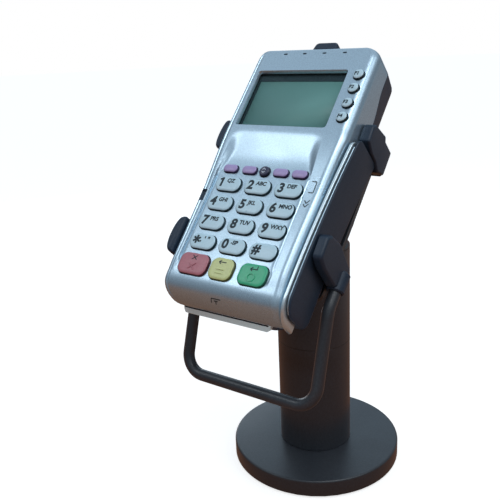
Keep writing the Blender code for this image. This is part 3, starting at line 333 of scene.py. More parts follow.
# Lamps: name, place and target in metres, size in metres, power in watts and colour
MIDDLE = (0.0, -0.02, 0.15)
LAMPS = (
    ("front_softbox", (-0.43, -0.45, 0.78), MIDDLE, (0.26, 0.22), 0.40, (0.95, 0.98, 1.0)),
    ("upper_right_softbox", (0.32, -0.28, 0.92), MIDDLE, (0.38, 0.33), 1.3, (0.97, 0.99, 1.0)),
    ("cool_back_fill", (0.32, 0.40, 0.10), MIDDLE, (0.55, 0.40), 0.12, (0.30, 0.78, 1.0)),
    ("lip_bounce", (0.036, -0.157, 0.091), (-0.006, -0.085, 0.126), (0.050, 0.015), 0.016,
     (0.70, 0.93, 1.0)),
    ("rear_softbox", (-0.35, 0.62, 0.46), MIDDLE, (0.60, 0.50), 0.45, (0.45, 0.75, 1.0)),
    ("right_softbox", (0.62, -0.10, 0.72), (0.03, -0.05, 0.20), (0.50, 0.40), 0.75,
     (0.93, 0.98, 1.0)),
    ("rear_left_fill", (-0.75, 0.55, 0.20), MIDDLE, (0.50, 0.50), 1.5, (0.78, 0.90, 1.0)),
)
UNSEEN_IN_GLOSS = ("lip_bounce",)

# Studio: half the floor's side and the backdrop's radius in millimetres
FLOOR_REACH = 12000.0
BACKDROP_RADIUS = 8000.0

# Camera: place in metres, turn in degrees (yaw, pitch below the horizon, roll), lens in mm
CAMERA_PLACE = (0.20693, -0.35018, 0.27094)
CAMERA_TURN = (36.11, 17.29, -2.64)
CAMERA_LENS = 48.6
CAMERA_SENSOR = 36.0
CAMERA_NEAR = 0.01

# ---- Frame ----

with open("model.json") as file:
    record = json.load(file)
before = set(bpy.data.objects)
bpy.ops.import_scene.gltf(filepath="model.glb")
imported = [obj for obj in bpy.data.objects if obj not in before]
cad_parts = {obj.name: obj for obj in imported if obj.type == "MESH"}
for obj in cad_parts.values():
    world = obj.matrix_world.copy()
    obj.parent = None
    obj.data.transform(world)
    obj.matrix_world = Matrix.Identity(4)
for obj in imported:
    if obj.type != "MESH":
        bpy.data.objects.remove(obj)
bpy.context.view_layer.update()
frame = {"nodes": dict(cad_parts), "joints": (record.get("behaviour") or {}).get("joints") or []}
JOINTS = {joint["name"]: joint for joint in frame["joints"]}


def face_matrix():
    """The face frame at rest, from the tilt hinge and the way the keys press."""
    across = Vector(JOINTS["head_tilt"]["axis"])
    out = -Vector(JOINTS["press_key_5"]["axis"])
    up = out.cross(across)
    hinge = Vector(JOINTS["head_tilt"]["pos_m"])
    origin = hinge - up * FACE_BACK * MM + out * FACE_RISE * MM
    matrix = Matrix((across, up, out)).transposed().to_4x4()
    matrix.translation = origin
    return matrix


FACE = face_matrix()
WORLD = Matrix.Identity(4)


# ---- Materials ----

def feed(tree, node, inputs):
    """Sets a node's inputs, or links those that are given another node's output."""
    for name, value in inputs.items():
        if isinstance(value, bpy.types.NodeSocket):
            tree.links.new(value, node.inputs[name])
        else:
            node.inputs[name].default_value = value


def add_node(tree, kind, inputs):
    node = tree.nodes.new(kind)
    feed(tree, node, inputs)
    return node


def new_material(name, inputs):
    material = bpy.data.materials.new(name)
    material.use_nodes = True
    tree = material.node_tree
    shader = tree.nodes["Principled BSDF"]
    feed(tree, shader, inputs)
    return material, tree, shader


def noise(tree, scale):
    """A noise texture in the piece's own coordinates; scale is in cycles per millimetre."""
    place = tree.nodes.new("ShaderNodeTexCoord").outputs["Object"]
    inputs = {"Vector": place, "Scale": scale / MM, "Detail": 3.0}
    return add_node(tree, "ShaderNodeTexNoise", inputs).outputs["Fac"]


def spread(tree, value, low, high):
    """The middle of a noise spread over a range."""
    inputs = {"Value": value, "From Min": 0.3, "From Max": 0.7, "To Min": low, "To Max": high}
    return add_node(tree, "ShaderNodeMapRange", inputs).outputs["Result"]


def mixed(tree, factor, first, second):
    mix = tree.nodes.new("ShaderNodeMix")
    mix.data_type = "RGBA"
    feed(tree, mix, {"Factor": factor, "A": (*first, 1.0), "B": (*second, 1.0)})
    return mix.outputs["Result"]


def finish(name, colours, gloss, relief, inputs):
    """Colour speckle, uneven gloss and fine relief, all from noise.

    relief is its strength and its scale, then the scale of the speckle.
    """
    material, tree, shader = new_material(name, inputs)
    strength, relief_scale, speckle_scale = relief
    speckle = spread(tree, noise(tree, speckle_scale), 0.0, 1.0)
    bump = add_node(tree, "ShaderNodeBump", {
        "Strength": strength, "Distance": RELIEF_DEPTH * MM,
        "Height": noise(tree, relief_scale)})
    feed(tree, shader, {
        "Base Color": mixed(tree, speckle, *colours),
        "Roughness": spread(tree, noise(tree, GLOSS_SCALE), *gloss),
        "Normal": bump.outputs["Normal"]})
    return material


def display_glass():
    """Clear window: almost all of the light goes through, and its face is glossy."""
    material, tree, shader = new_material(
        "display_glass", {"Alpha": 0.06, "Specular IOR Level": 0.3})
    feed(tree, shader, {
        "Base Color": mixed(tree, noise(tree, 0.05), (0.08, 0.13, 0.12), (0.12, 0.18, 0.17)),
        "Roughness": spread(tree, noise(tree, 0.08), 0.10, 0.16)})
    return material


def liquid_crystal():
    """Grey-green panel with the faint grid of its dots."""
    material, tree, shader = new_material("liquid_crystal", {})
    along_face = add_node(tree, "ShaderNodeMapping", {
        "Vector": tree.nodes.new("ShaderNodeTexCoord").outputs["Object"],
        "Rotation": FACE.inverted().to_euler()})
    dots = add_node(tree, "ShaderNodeTexBrick", {
        "Vector": along_face.outputs["Vector"], "Scale": 1.0 / MM, "Brick Width": DOT_PITCH,
        "Row Height": DOT_PITCH, "Mortar Size": DOT_GAP, "Mortar": (0.167, 0.390, 0.365, 1.0),
        "Color1": (0.185, 0.430, 0.400, 1.0), "Color2": (0.193, 0.443, 0.412, 1.0)})
    dots.offset = 0.0
    feed(tree, shader, {
        "Base Color": dots.outputs["Color"],
        "Roughness": spread(tree, noise(tree, 0.03), 0.45, 0.55)})
    return material


def key_plastic(name, colour, mottle=0.06):
    """Moulded key plastic with a soft sheen; mottle is how far its colour varies."""
    darker = tuple(channel * (1.0 - mottle) for channel in colour)
    lighter = tuple(channel * (1.0 + mottle) for channel in colour)
    return finish(name, (darker, lighter), (0.30, 0.40), (0.4, 2.4, 0.9), {"Coat Weight": 0.15})


def ink(name, colour):
    """Printed legend: flat ink with the slight mottle of a pad print."""
    lighter = tuple(channel * 1.5 + 0.004 for channel in colour)
    return finish(name, (colour, lighter), (0.42, 0.56), (0.3, 5.0, 2.0), {})


def stage_material(name, tone, glow):
    """A pale studio surface; the glow keeps it white wherever the light falls off."""
    material, tree, shader = new_material(name, {
        "Roughness": 0.9, "Specular IOR Level": 0.0,
        "Emission Color": (1.0, 1.0, 1.0, 1.0), "Emission Strength": glow})
    shades = ((tone, tone, tone), (tone * 1.02, tone * 1.02, tone * 1.02))
    feed(tree, shader, {"Base Color": mixed(tree, noise(tree, 0.01), *shades)})
    return material


PAINT = ((0.27, 0.33), (0.35, 2.5, 1.6))
CLEAR_COAT = {"Coat Weight": 0.35, "Coat Roughness": 0.12}

# Name, darker and lighter colour, range of roughness, relief and speckle, other settings
FINISHES = {
    # Light blue metallic paint with fine flakes under a thin clear coat
    "silver": ("silver_paint", ((0.43, 0.57, 0.68), (0.56, 0.73, 0.85)), *PAINT,
               {"Metallic": 0.82, **CLEAR_COAT}),
    # A lighter copy of the silver paint for the swipe rail: painted highlight along its top
    "rail": ("rail_highlight_paint", ((0.66, 0.79, 0.86), (0.80, 0.92, 0.96)), *PAINT,
             {"Metallic": 0.80, **CLEAR_COAT}),
    # Black plastic with the fine grain of a spark-eroded mould
    "black_plastic": ("moulded_black", ((0.016, 0.031, 0.055), (0.026, 0.046, 0.079)),
                      (0.36, 0.46), (0.6, 3.2, 1.5), {"Specular IOR Level": 0.38}),
    # Black powder coat on steel, with its slight orange peel; its warm sheen is a painted
    # reflection of brown surroundings along its edges
    "coat": ("powder_coat", ((0.025, 0.029, 0.036), (0.037, 0.043, 0.053)),
             (0.30, 0.38), (0.9, 1.1, 1.0),
             {"Specular IOR Level": 0.6, "Sheen Weight": 0.10, "Sheen Roughness": 0.35,
              "Sheen Tint": (0.95, 0.55, 0.42, 1.0)}),
    "steel": ("plated_steel", ((0.44, 0.45, 0.47), (0.58, 0.59, 0.60)),
              (0.24, 0.36), (0.3, 4.0, 0.6), {"Metallic": 1.0}),
    "rubber": ("black_rubber", ((0.015, 0.015, 0.017), (0.027, 0.027, 0.029)),
               (0.62, 0.78), (1.0, 2.0, 1.2), {}),
    "acetal": ("dark_acetal", ((0.016, 0.014, 0.013), (0.025, 0.022, 0.020)),
               (0.34, 0.44), (0.2, 2.0, 0.8), {}),
    "friction": ("friction_disc", ((0.06, 0.04, 0.03), (0.15, 0.11, 0.08)),
                 (0.6, 0.8), (1.0, 3.0, 1.4), {}),
    "board": ("green_board", ((0.012, 0.12, 0.05), (0.03, 0.20, 0.09)),
              (0.3, 0.45), (0.5, 1.0, 0.5), {}),
    "lens": ("smoked_lens", ((0.035, 0.05, 0.065), (0.07, 0.09, 0.11)),
             (0.12, 0.2), (0.1, 2.0, 1.5), {"Coat Weight": 0.6}),
    # Dark sheet under the display window: painted shadow of the bezel, wide along the top and thin
    # down the left
    "shadow_band": ("display_shadow_band", ((0.018, 0.042, 0.055), (0.026, 0.056, 0.072)),
             (0.45, 0.55), (0.1, 2.0, 0.6), {"Specular IOR Level": 0.25}),
}

# Part slot, material, colour of the top and its mottle, and the darker colour painted on the sides
# of each key as painted shade
KEY_LOOKS = {
    "key": ("key_silver", "key_pale", (0.60, 0.83, 0.95), 0.03, (0.012, 0.045, 0.062)),
    "purple": ("key_purple", "key_lilac", (0.46, 0.37, 0.68), 0.06, (0.040, 0.025, 0.10)),
    "slate": ("key_dark", "key_slate", (0.045, 0.050, 0.10), 0.06, (0.010, 0.014, 0.030)),
    "red": ("key_red", "key_red", (0.52, 0.19, 0.23), 0.06, (0.10, 0.022, 0.034)),
    "yellow": ("key_yellow", "key_yellow", (0.68, 0.74, 0.34), 0.06, (0.12, 0.13, 0.035)),
    "green": ("key_green", "key_green", (0.060, 0.50, 0.27), 0.06, (0.008, 0.10, 0.060)),
}

MATERIALS = {look: finish(*values) for look, values in FINISHES.items()}
MATERIALS["glass"] = display_glass()
MATERIALS["lcd"] = liquid_crystal()
# The card lip is a light silver; this pale colour is lighter still and paints the sky's reflection
# on it: partly its own colour, partly painted reflection
MATERIALS["pale"] = key_plastic("pale_painted_reflection", (0.80, 0.92, 0.96), 0.03)
for look, (_, material_name, top, mottle, side) in KEY_LOOKS.items():
    MATERIALS[look] = key_plastic(material_name, top, mottle)
    # The sides get a much darker copy of each key's colour: painted shade
    MATERIALS[f"{look}_side"] = key_plastic(f"{material_name}_side", side)
MATERIALS["ink"] = ink("legend_ink", (0.010, 0.025, 0.035))
MATERIALS["pale_ink"] = ink("legend_pale_ink", (0.55, 0.62, 0.70))


# ---- Outlines ----

def arc(centre, radius, start, stop, steps):
    """Points on an arc, angles in degrees, both ends included."""
    angles = [math.radians(start + (stop - start) * i / steps) for i in range(steps + 1)]
    return [(centre[0] + radius * math.cos(a), centre[1] + radius * math.sin(a)) for a in angles]


def rounded_rectangle(centre, size, corner, steps=8):
    """A rectangle with round corners, which stay a little smaller than its half sides."""
    corner = max(min(corner, size[0] / 2 - 0.01, size[1] / 2 - 0.01), 0.02)
    half_x = size[0] / 2 - corner
    half_y = size[1] / 2 - corner
    points = []
    for start, side_x, side_y in ((0, 1, 1), (90, -1, 1), (180, -1, -1), (270, 1, -1)):
        middle = (centre[0] + side_x * half_x, centre[1] + side_y * half_y)
        points += arc(middle, corner, start, start + 90, steps)
    return points


def grown_rectangle(place, size, corner, gap):
    return rounded_rectangle(place, (size[0] + 2 * gap, size[1] + 2 * gap), corner + gap)


def rounded_polygon(corners, radii):
    """A closed outline whose corners are replaced by arcs of the given radii."""
    corners = [Vector(corner) for corner in corners]
    points = rounded_path(corners[-1:] + corners + corners[:1], radii, 6)
    return [tuple(point) for point in points[1:-1]]


def bend(corner, into, out, radius, steps):
    """Points of the arc that rounds a corner between two directions."""
    turn = into.angle(out)
    if turn < 1e-4:
        return [corner]
    reach = radius * math.tan(turn / 2)
    start = corner - into * reach
    inward = (out - into * into.dot(out)).normalized()
    middle = start + inward * radius
    points = []
    for i in range(steps + 1):
        angle = turn * i / steps
        across = inward * radius * math.cos(angle)
        points.append(middle - across + into * radius * math.sin(angle))
    return points


def rounded_path(corners, radii, steps):
    """An open path whose inner corners are replaced by arcs of the given radii."""
    points = [corners[0]]
    for before, corner, after, radius in zip(corners, corners[1:], corners[2:], radii):
        into = (corner - before).normalized()
        out = (after - corner).normalized()
        points += bend(corner, into, out, radius, steps)
    points.append(corners[-1])
    return points


# ---- Meshes and pieces ----

def make_mesh(name, cage):
    """A mesh in metres from a cage in millimetres."""
    bmesh.ops.recalc_face_normals(cage, faces=cage.faces)
    cage.transform(Matrix.Scale(MM, 4))
    mesh = bpy.data.meshes.new(name)
    cage.to_mesh(mesh)
    cage.free()
    return mesh


def skin_cage(rings, capped):
    """A skin through closed sections that all have the same number of points."""
    cage = bmesh.new()
    rows = [[cage.verts.new(point) for point in ring] for ring in rings]
    count = len(rows[0])
    for row, following in zip(rows, rows[1:]):
        for i in range(count):
            j = (i + 1) % count
            cage.faces.new((row[i], row[j], following[j], following[i]))
    if capped:
        cage.faces.new(list(reversed(rows[0])))
        cage.faces.new(rows[-1])
    return cage


def loft(name, rings):
    return make_mesh(name, skin_cage(rings, capped=True))


def lifted(outline, height, along="z"):
    """A flat outline stood up in space: along x it is drawn as (y, z), along y as (x, z)."""
    if along == "x":
        return [(height, a, b) for a, b in outline]
    if along == "y":
        return [(a, height, b) for a, b in outline]
    return [(a, b, height) for a, b in outline]


def prism(name, outline, low, high):
    return loft(name, [lifted(outline, low), lifted(outline, high)])


def turned(name, profile, steps):
    """A solid turned about z. The profile is a closed outline of (radius, height)."""
    cage = bmesh.new()
    rows = []
    for i in range(steps):
        angle = 2.0 * math.pi * i / steps
        ring = [(r * math.cos(angle), r * math.sin(angle), height) for r, height in profile]
        rows.append([cage.verts.new(point) for point in ring])
    count = len(profile)
    for row, following in zip(rows, rows[1:] + rows[:1]):
        for i in range(count):
            j = (i + 1) % count
            if profile[i][0] + profile[j][0] > 0.0:
                cage.faces.new((row[i], row[j], following[j], following[i]))
    bmesh.ops.remove_doubles(cage, verts=cage.verts, dist=0.001)
    return make_mesh(name, cage)


def moved(mesh, x, y, z):
    mesh.transform(Matrix.Translation((x * MM, y * MM, z * MM)))
    return mesh


def joined(name, meshes):
    """One mesh out of several, which are used up."""
    cage = bmesh.new()
    for mesh in meshes:
        cage.from_mesh(mesh)
        bpy.data.meshes.remove(mesh)
    mesh = bpy.data.meshes.new(name)
    cage.to_mesh(mesh)
    cage.free()
    return mesh


def tube(name, points, radius, sides):
    """A round rod along an open path of points in millimetres."""
    curve = bpy.data.curves.new(name, "CURVE")
    curve.dimensions = "3D"
    curve.bevel_depth = radius * MM
    curve.bevel_resolution = sides
    curve.use_fill_caps = True
    spline = curve.splines.new("POLY")
    spline.points.add(len(points) - 1)
    for slot, point in zip(spline.points, points):
        slot.co = (*(Vector(point) * MM), 1.0)
    return mesh_of(curve)


def mesh_of(data):
    """The mesh that a curve or text object makes."""
    holder = new_object(data.name, data)
    graph = bpy.context.evaluated_depsgraph_get()
    mesh = bpy.data.meshes.new_from_object(holder.evaluated_get(graph))
    bpy.data.objects.remove(holder, do_unlink=True)
    return mesh


def new_object(name, data):
    thing = bpy.data.objects.new(name, data)
    bpy.context.scene.collection.objects.link(thing)
    return thing


def add_piece(name, mesh, material, place=FACE, smooth_angle=32.0):
    piece = new_object(name, mesh)
    piece.matrix_world = place
    if material:
        piece.data.materials.append(MATERIALS[material])
    piece.data.shade_smooth()
    piece.data.set_sharp_from_angle(angle=math.radians(smooth_angle))
    return piece


def settle(piece, body, slot, *nodes):
    """Ties a finished piece to its body, in place of the CAD nodes it stands for; the slot is not
    used.
    """
    piece.data.transform(piece.matrix_world)
    piece.matrix_world = Matrix.Identity(4)
    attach(piece, body)
    if nodes:
        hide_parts(*nodes)


def put(name, mesh, material, body, slot, *nodes, place=FACE, smooth_angle=32.0):
    """Adds a piece that needs no more work, and settles it."""
    settle(add_piece(name, mesh, material, place, smooth_angle), body, slot, *nodes)


def add_bevel(piece, width, segments, angle=35.0):
    bevel = piece.modifiers.new("bevel", "BEVEL")
    bevel.width = width * MM
    bevel.segments = segments
    bevel.limit_method = "ANGLE"
    bevel.angle_limit = math.radians(angle)
    bevel.harden_normals = True
    return piece


def cut(piece, mesh):
    """Cuts a mesh out of a piece and applies the result."""
    cutter = new_object("cutter", mesh)
    cutter.matrix_world = piece.matrix_world
    boolean = piece.modifiers.new("boolean", "BOOLEAN")
    boolean.operation = "DIFFERENCE"
    boolean.object = cutter
    boolean.solver = "EXACT"
    bpy.context.view_layer.update()
    graph = bpy.context.evaluated_depsgraph_get()
    result = bpy.data.meshes.new_from_object(piece.evaluated_get(graph))
    piece.modifiers.clear()
    piece.data = result
    bpy.data.objects.remove(cutter, do_unlink=True)


# ---- The face, as functions of the place on it ----

def blend(value, start, stop):
    """0 below start, 1 above stop, and a smooth rise between them."""
    t = min(max((value - start) / (stop - start), 0.0), 1.0)
    return t * t * (3.0 - 2.0 * t)


def corner_inset(y, end, radius):
    """How far a rounded corner pulls a side in at y, near the end at y = end."""
    depth = radius - abs(end - y)
    if depth <= 0.0:
        return 0.0
    return radius - math.sqrt(max(radius * radius - depth * depth, 0.0))


def rounded_end(end, radius, steps):
    """Places along y that follow a quarter round evenly; they run inward from the end."""
    inward = -math.copysign(1.0, end)
    angles = [math.radians(90.0 * i / steps) for i in range(steps + 1)]
    return [end + inward * radius * (1.0 - math.cos(angle)) for angle in angles]


def stations(nose, top, count):
    """Places along y: round the nose, evenly up the side, and round the top."""
    low = nose[-1]
    high = top[-1]
    return nose + [low + (high - low) * i / count for i in range(1, count)] + top[::-1]


def rail_x(y):
    """The rail's middle: straight up the nose, then flaring out."""
    t = max(y - RAIL_END_Y, 0.0) / (RAIL_TOP_Y - RAIL_END_Y)
    return RAIL_END_X + RAIL_FLARE * t * t


def case_left(y):
    return LEFT_X + LEFT_TAPER * (1.0 - blend(y, RAIL_END_Y, TOP_Y / 4))


def case_right(y):
    closer = 0.7 * (1.0 - blend(y, NOSE_Y + 8, RAIL_END_Y + 4))
    beside_track = rail_x(y) - RAIL_HALF - TRACK_GAP + closer
    return beside_track + (RIGHT_X - beside_track) * blend(y, RAIL_TOP_Y - 4, RAIL_TOP_Y + 4)


def parting_z(y):
    rise = blend(y, PARTING_END_Y, PARTING_START_Y)
    return PARTING_NOSE_Z + (PARTING_TOP_Z - PARTING_NOSE_Z) * rise


def border_z(y):
    """Level of the face beside the tray, which the tray's floor is sunk below."""
    low = BORDER_Z * blend(y, NOSE_Y + 13, NOSE_Y + 24)
    return low + (PLATEAU_Z - low) * blend(y, -8.0, TRAY_HEAD_Y)


def tray_z(y):
    """Floor of the tray: flat under the keys, then a hollow that rolls over into the display."""
    t = min(max((y - TRAY_FOOT_Y) / (TRAY_HEAD_Y - TRAY_FOOT_Y), 0.0), 1.0)
    t = t ** TRAY_HOLLOW_CURVE
    return PLATEAU_Z * t * t * (3.0 - 2.0 * t)


def tray_depth(x, y):
    """0 outside the tray, 1 on its floor; the walls are steep at the keys and wide above."""
    left, right, low, high = TRAY
    side_x = abs(x - (left + right) / 2) - ((right - left) / 2 - TRAY_CORNER)
    side_y = abs(y - (low + high) / 2) - ((high - low) / 2 - TRAY_CORNER)
    outside = math.hypot(max(side_x, 0.0), max(side_y, 0.0))
    distance = outside + min(max(side_x, side_y), 0.0) - TRAY_CORNER
    width = TRAY_STEEP + TRAY_GENTLE * blend(y, TRAY_FOOT_Y - 4, TRAY_FOOT_Y + 14)
    return blend(-distance, 0.0, width)


def groove(x, y):
    """Seam between the keypad panel and the border on each side of it."""
    left = max(0.0, 1.0 - abs(x - LEFT_GROOVE_X) / 0.45)
    left *= blend(y, -52, -46) * (1.0 - blend(y, 2, 8))
    right = max(0.0, 1.0 - abs(x - RIGHT_GROOVE_X) / 0.5)
    right *= blend(y, -50, -44) * (1.0 - blend(y, 8, 14))
    return GROOVE_DEPTH * max(left, right)


def face_z(x, y):
    depth = tray_depth(x, y)
    level = border_z(y)
    height = level + (tray_z(y) - level) * depth - groove(x, y)
    height -= corner_inset(y, TOP_Y, TOP_ROUNDING)
    return height - corner_inset(y, NOSE_Y, NOSE_ROUNDING)


# ---- Front shell ----

def tray_lines():
    """Places across the face: close together at the tray's walls and seams."""
    edge = [TRAY_LINE_STEP * i for i in range(TRAY_EDGE_LINES)]
    left = [TRAY[0] - TRAY_MARGIN + step for step in edge]
    right = [TRAY[1] + TRAY_MARGIN - step for step in edge]
    floor_left = left[-1] + TRAY_LINE_GAP
    floor_width = right[-1] - TRAY_LINE_GAP - floor_left
    floor = [floor_left + floor_width * i / TRAY_FLOOR_LINES for i in range(TRAY_FLOOR_LINES + 1)]
    return left + floor + right[::-1]


def hollow(y, left, right, mouth, end, chamfer):
    """Section of the space inside a shell, from its open mouth to its chamfered end."""
    shoulder = end - math.copysign(chamfer, end - mouth)
    section = [
        (left, mouth), (left, shoulder), (left + chamfer, end), (right - chamfer, end),
        (right, shoulder), (right, mouth)]
    return lifted(section, y, "y")


def edge_curve(width, drop):
    """Quarter of an ellipse from the side up to the face: (distance in, distance down)."""
    angles = [math.radians(90.0 * i / EDGE_STEPS) for i in range(EDGE_STEPS + 1)]
    return [(width * (1.0 - math.cos(a)), drop * (1.0 - math.sin(a))) for a in angles]


def front_section(y, lines):
    """Outside of the front shell at y, from its left rim over the face to its right rim."""
    top_inset = corner_inset(y, TOP_Y, TOP_CORNER)
    left_inset = top_inset + corner_inset(y, NOSE_Y, NOSE_CORNER)
    right_inset = top_inset + corner_inset(y, NOSE_Y, NOSE_RIGHT_CORNER)
    left = case_left(y) + left_inset
    right = case_right(y) - right_inset
    bottom = parting_z(y)
    room = (face_z(0.0, y) - bottom) * EDGE_ROOM
    upper = blend(y, RAIL_TOP_Y - 6, RAIL_TOP_Y + 6)
    right_width = RIGHT_EDGE_TRACK[0] + (RIGHT_EDGE_TOP[0] - RIGHT_EDGE_TRACK[0]) * upper
    right_drop = RIGHT_EDGE_TRACK[1] + (RIGHT_EDGE_TOP[1] - RIGHT_EDGE_TRACK[1]) * upper
    section = [(left, bottom)]
    for reach, drop in edge_curve(LEFT_EDGE[0], min(LEFT_EDGE[1], room)):
        section.append((left + reach, face_z(left + LEFT_EDGE[0], y) - drop))
    crease = left + LEFT_EDGE[0] + EDGE_CREASE
    section.append((crease, face_z(crease, y) - EDGE_CREASE * 0.8))
    section.append((crease + EDGE_CREASE, face_z(crease + EDGE_CREASE, y)))
    centre = (TRAY[0] + TRAY[1]) / 2
    for x in lines:
        inset = left_inset if x < centre else right_inset
        place = centre + (x - centre) * (1.0 - inset / CORNER_SQUEEZE)
        section.append((place, face_z(place, y)))
    brow = right - right_width
    section.append((brow - 1.6, face_z(brow - 1.6, y)))
    section.append((brow - 0.8, face_z(brow - 0.8, y) + 0.03))
    for reach, drop in reversed(edge_curve(right_width, min(right_drop, room))):
        section.append((right - reach, face_z(brow, y) + 0.06 - drop))
    section.append((right, bottom))
    return lifted(section, y, "y")


def nose_tuck(y, z):
    """How far the nose draws back under itself below its widest place."""
    depth = max(NOSE_TUCK_Z - z, 0.0) / (NOSE_TUCK_Z - PARTING_NOSE_Z)
    return NOSE_TUCK * depth ** NOSE_TUCK_CURVE * (1.0 - blend(y, NOSE_Y + 2, NOSE_Y + 22))


def key_table():
    """Name, place, size, corner and look of every key."""
    keys = []
    names = ("1", "2", "3", "4", "5", "6", "7", "8", "9", "star", "0", "hash")
    for number, name in enumerate(names):
        place = (KEY_COLUMNS[number % 3], -KEY_ROW_PITCH * (number // 3))
        keys.append((f"key_{name}", place, KEY_SIZE, KEY_CORNER, "key"))
    for (name, (look, *_)), x, size in zip(ACTION_SIGNS.items(), ACTION_COLUMNS, ACTION_SIZE):
        keys.append((f"key_{name}", (x, ACTION_Y), size, ACTION_CORNER, look))
    soft_corner = SOFT_SIZE[1] / 2 - 0.2
    for number, x in enumerate(SOFT_COLUMNS, start=1):
        keys.append((f"key_soft_{number}", (x, SOFT_ROW_Y), SOFT_SIZE, soft_corner, "purple"))
    round_shape = ((2 * ROUND_KEY_RADIUS, 2 * ROUND_KEY_RADIUS), ROUND_KEY_RADIUS)
    keys.append(("key_scroll", (SCROLL_X, SOFT_ROW_Y), *round_shape, "slate"))
    for number, y in enumerate(FUNCTION_ROWS, start=1):
        keys.append((f"key_function_{number}", (FUNCTION_X, y), *round_shape, "key"))
    return keys


def face_openings():
    """One mesh with every opening of the front shell."""
    openings = [
        grown_rectangle(place, size, corner, KEY_CLEARANCE)
        for _, place, size, corner, _ in key_table()]
    openings.append(
        grown_rectangle(DISPLAY_CENTRE, DISPLAY_OPENING, DISPLAY_CORNER, BEZEL_WIDTH))
    openings += [rounded_rectangle((x, LIGHT_Y), LIGHT_SIZE, 0.5, 4) for x in LIGHT_COLUMNS]
    meshes = [prism("opening", outline, OPENING_LOW_Z, OPENING_HIGH_Z) for outline in openings]
    for slot, corner in ((SHIELD_SLOT, 0.3), (SEAM_SLOT, 0.4)):
        outline = rounded_rectangle(*slot, corner, 3)
        meshes.append(prism("slot", outline, SHIELD_SLOT_Z, OPENING_HIGH_Z))
    return joined("face_openings", meshes)


def front_hollow_section(y):
    """Section of the space inside the front shell."""
    nose = NOSE_Y + NOSE_TUCK + SHELL_WALL
    top = TOP_Y - SHELL_WALL
    inset = corner_inset(y, top, TOP_CORNER) + corner_inset(y, nose, NOSE_CORNER)
    left = case_left(y) + SHELL_WALL + inset
    right = case_right(y) - SHELL_WALL - inset
    high = min(border_z(y), tray_z(y)) - SHELL_WALL
    high -= corner_inset(y, top, TOP_ROUNDING) + corner_inset(y, nose, NOSE_ROUNDING - SHELL_WALL)
    return hollow(y, left, right, HOLLOW_FOOT_Z, max(high, HOLLOW_FOOT_Z + 0.5), FRONT_CHAMFER)


def add_front_shell():
    lines = tray_lines()
    nose = front_section(NOSE_Y, lines)
    rings = []
    for level in NOSE_LEVELS:
        rings.append([(x, y, min(z, level)) for x, y, z in nose])
    nose_places = rounded_end(NOSE_Y, NOSE_ROUNDING, 12)
    top_places = rounded_end(TOP_Y, TOP_CORNER, 9)
    rings += [front_section(y, lines) for y in stations(nose_places, top_places, 92)]
    rings = [[(x, y + nose_tuck(y, z), z) for x, y, z in ring] for ring in rings]
    shell = add_piece("front_shell", loft("front_shell", rings), "silver")

    nose_places = rounded_end(NOSE_Y + NOSE_TUCK + SHELL_WALL, NOSE_ROUNDING - SHELL_WALL, 8)
    top_places = rounded_end(TOP_Y - SHELL_WALL, TOP_CORNER, 6)
    rings = [front_hollow_section(y) for y in stations(nose_places, top_places, 24)]
    cut(shell, loft("front_hollow", rings))
    cut(shell, face_openings())
    shell.data.set_sharp_from_angle(angle=math.radians(40))
    settle(shell, "head", "silver_paint", "upper_case")

    place, (width, height) = SHIELD_SLOT
    insert = rounded_rectangle(place, (width + 0.2, height + 0.4), 0.3, 3)
    put("shield_slot_insert", prism("insert", insert, -3.4, -1.2), "black_plastic",
        "head", "black_plastic")


# ---- Keys and their legends ----

def key_levels(size, corner, base, dished):
    """Outlines of a key from its foot to its crown."""
    levels = []
    for grow, height in KEY_PROFILE:
        levels.append(lifted(grown_rectangle((0.0, 0.0), size, corner, grow), base + height))
    crown = base + (DISHED_CROWN if dished else KEY_TOP)
    levels.append([(x * 0.45, y * 0.45, crown) for x, y, _ in levels[-1]])
    return levels


def add_key(name, place, size, corner, look):
    base = PLATEAU_Z if place[1] > TRAY_HEAD_Y else 0.0
    dished = place[1] == ACTION_Y
    mesh = moved(loft(name, key_levels(size, corner, base, dished)), *place, 0.0)
    key = add_piece(f"{name}_cap", mesh, look, smooth_angle=60.0)
    key.data.materials.append(MATERIALS[f"{look}_side"])
    # Low faces take the darker copy of the key's colour: painted shade on its sides
    for face in key.data.polygons:
        if face.center.z < (base + KEY_SHADE_TOP) * MM:
            face.material_index = 1
    settle(key, name, KEY_LOOKS[look][0], name)


def lettering(name, text, place, size, height, weight):
    """Raised print of one word, its lower left corner at the place."""
    curve = bpy.data.curves.new(name, "FONT")
    curve.body = text
    curve.size = size * MM
    curve.shear = LETTER_LEAN
    curve.offset = weight * 0.6 * MM
    curve.bevel_depth = weight * 0.4 * MM
    curve.bevel_resolution = 1
    curve.extrude = 0.01 * MM
    return moved(mesh_of(curve), *place, height)


def add_number_legends():
    for name, place, _, _, _ in key_table():
        label = name.removeprefix("key_")
        if label not in KEY_LEGENDS:
            continue
        layout = STAR_LAYOUT if label == "star" else KEY_LAYOUT
        parts = []
        for text, (reach, rise, size, weight) in zip(KEY_LEGENDS[label], layout):
            if text:
                corner = (place[0] + reach, place[1] + rise)
                parts.append(lettering(name, text, corner, size, KEY_TOP, weight))
        if label == "1":
            parts.append(strokes(name, place, KEY_TOP, [FLAG_OF_ONE], FLAG_WIDTH))
        put(f"legend_{label}", joined(name, parts), "ink", name, "key_silver")


def bar(start, end, width):
    """Outline of a straight stroke between two points."""
    start = Vector(start)
    end = Vector(end)
    side = (end - start).normalized().orthogonal() * width / 2
    return [tuple(p) for p in (start - side, end - side, end + side, start + side)]


def strokes(name, place, height, lines, width, thick=PRINT_HEIGHT):
    """Straight strokes printed or raised on a flat surface, about a place on it."""
    meshes = []
    for start, end in lines:
        outline = [(place[0] + x, place[1] + y) for x, y in bar(start, end, width)]
        meshes.append(prism(name, outline, height - PRINT_SUNK, height + thick))
    return joined(name, meshes)


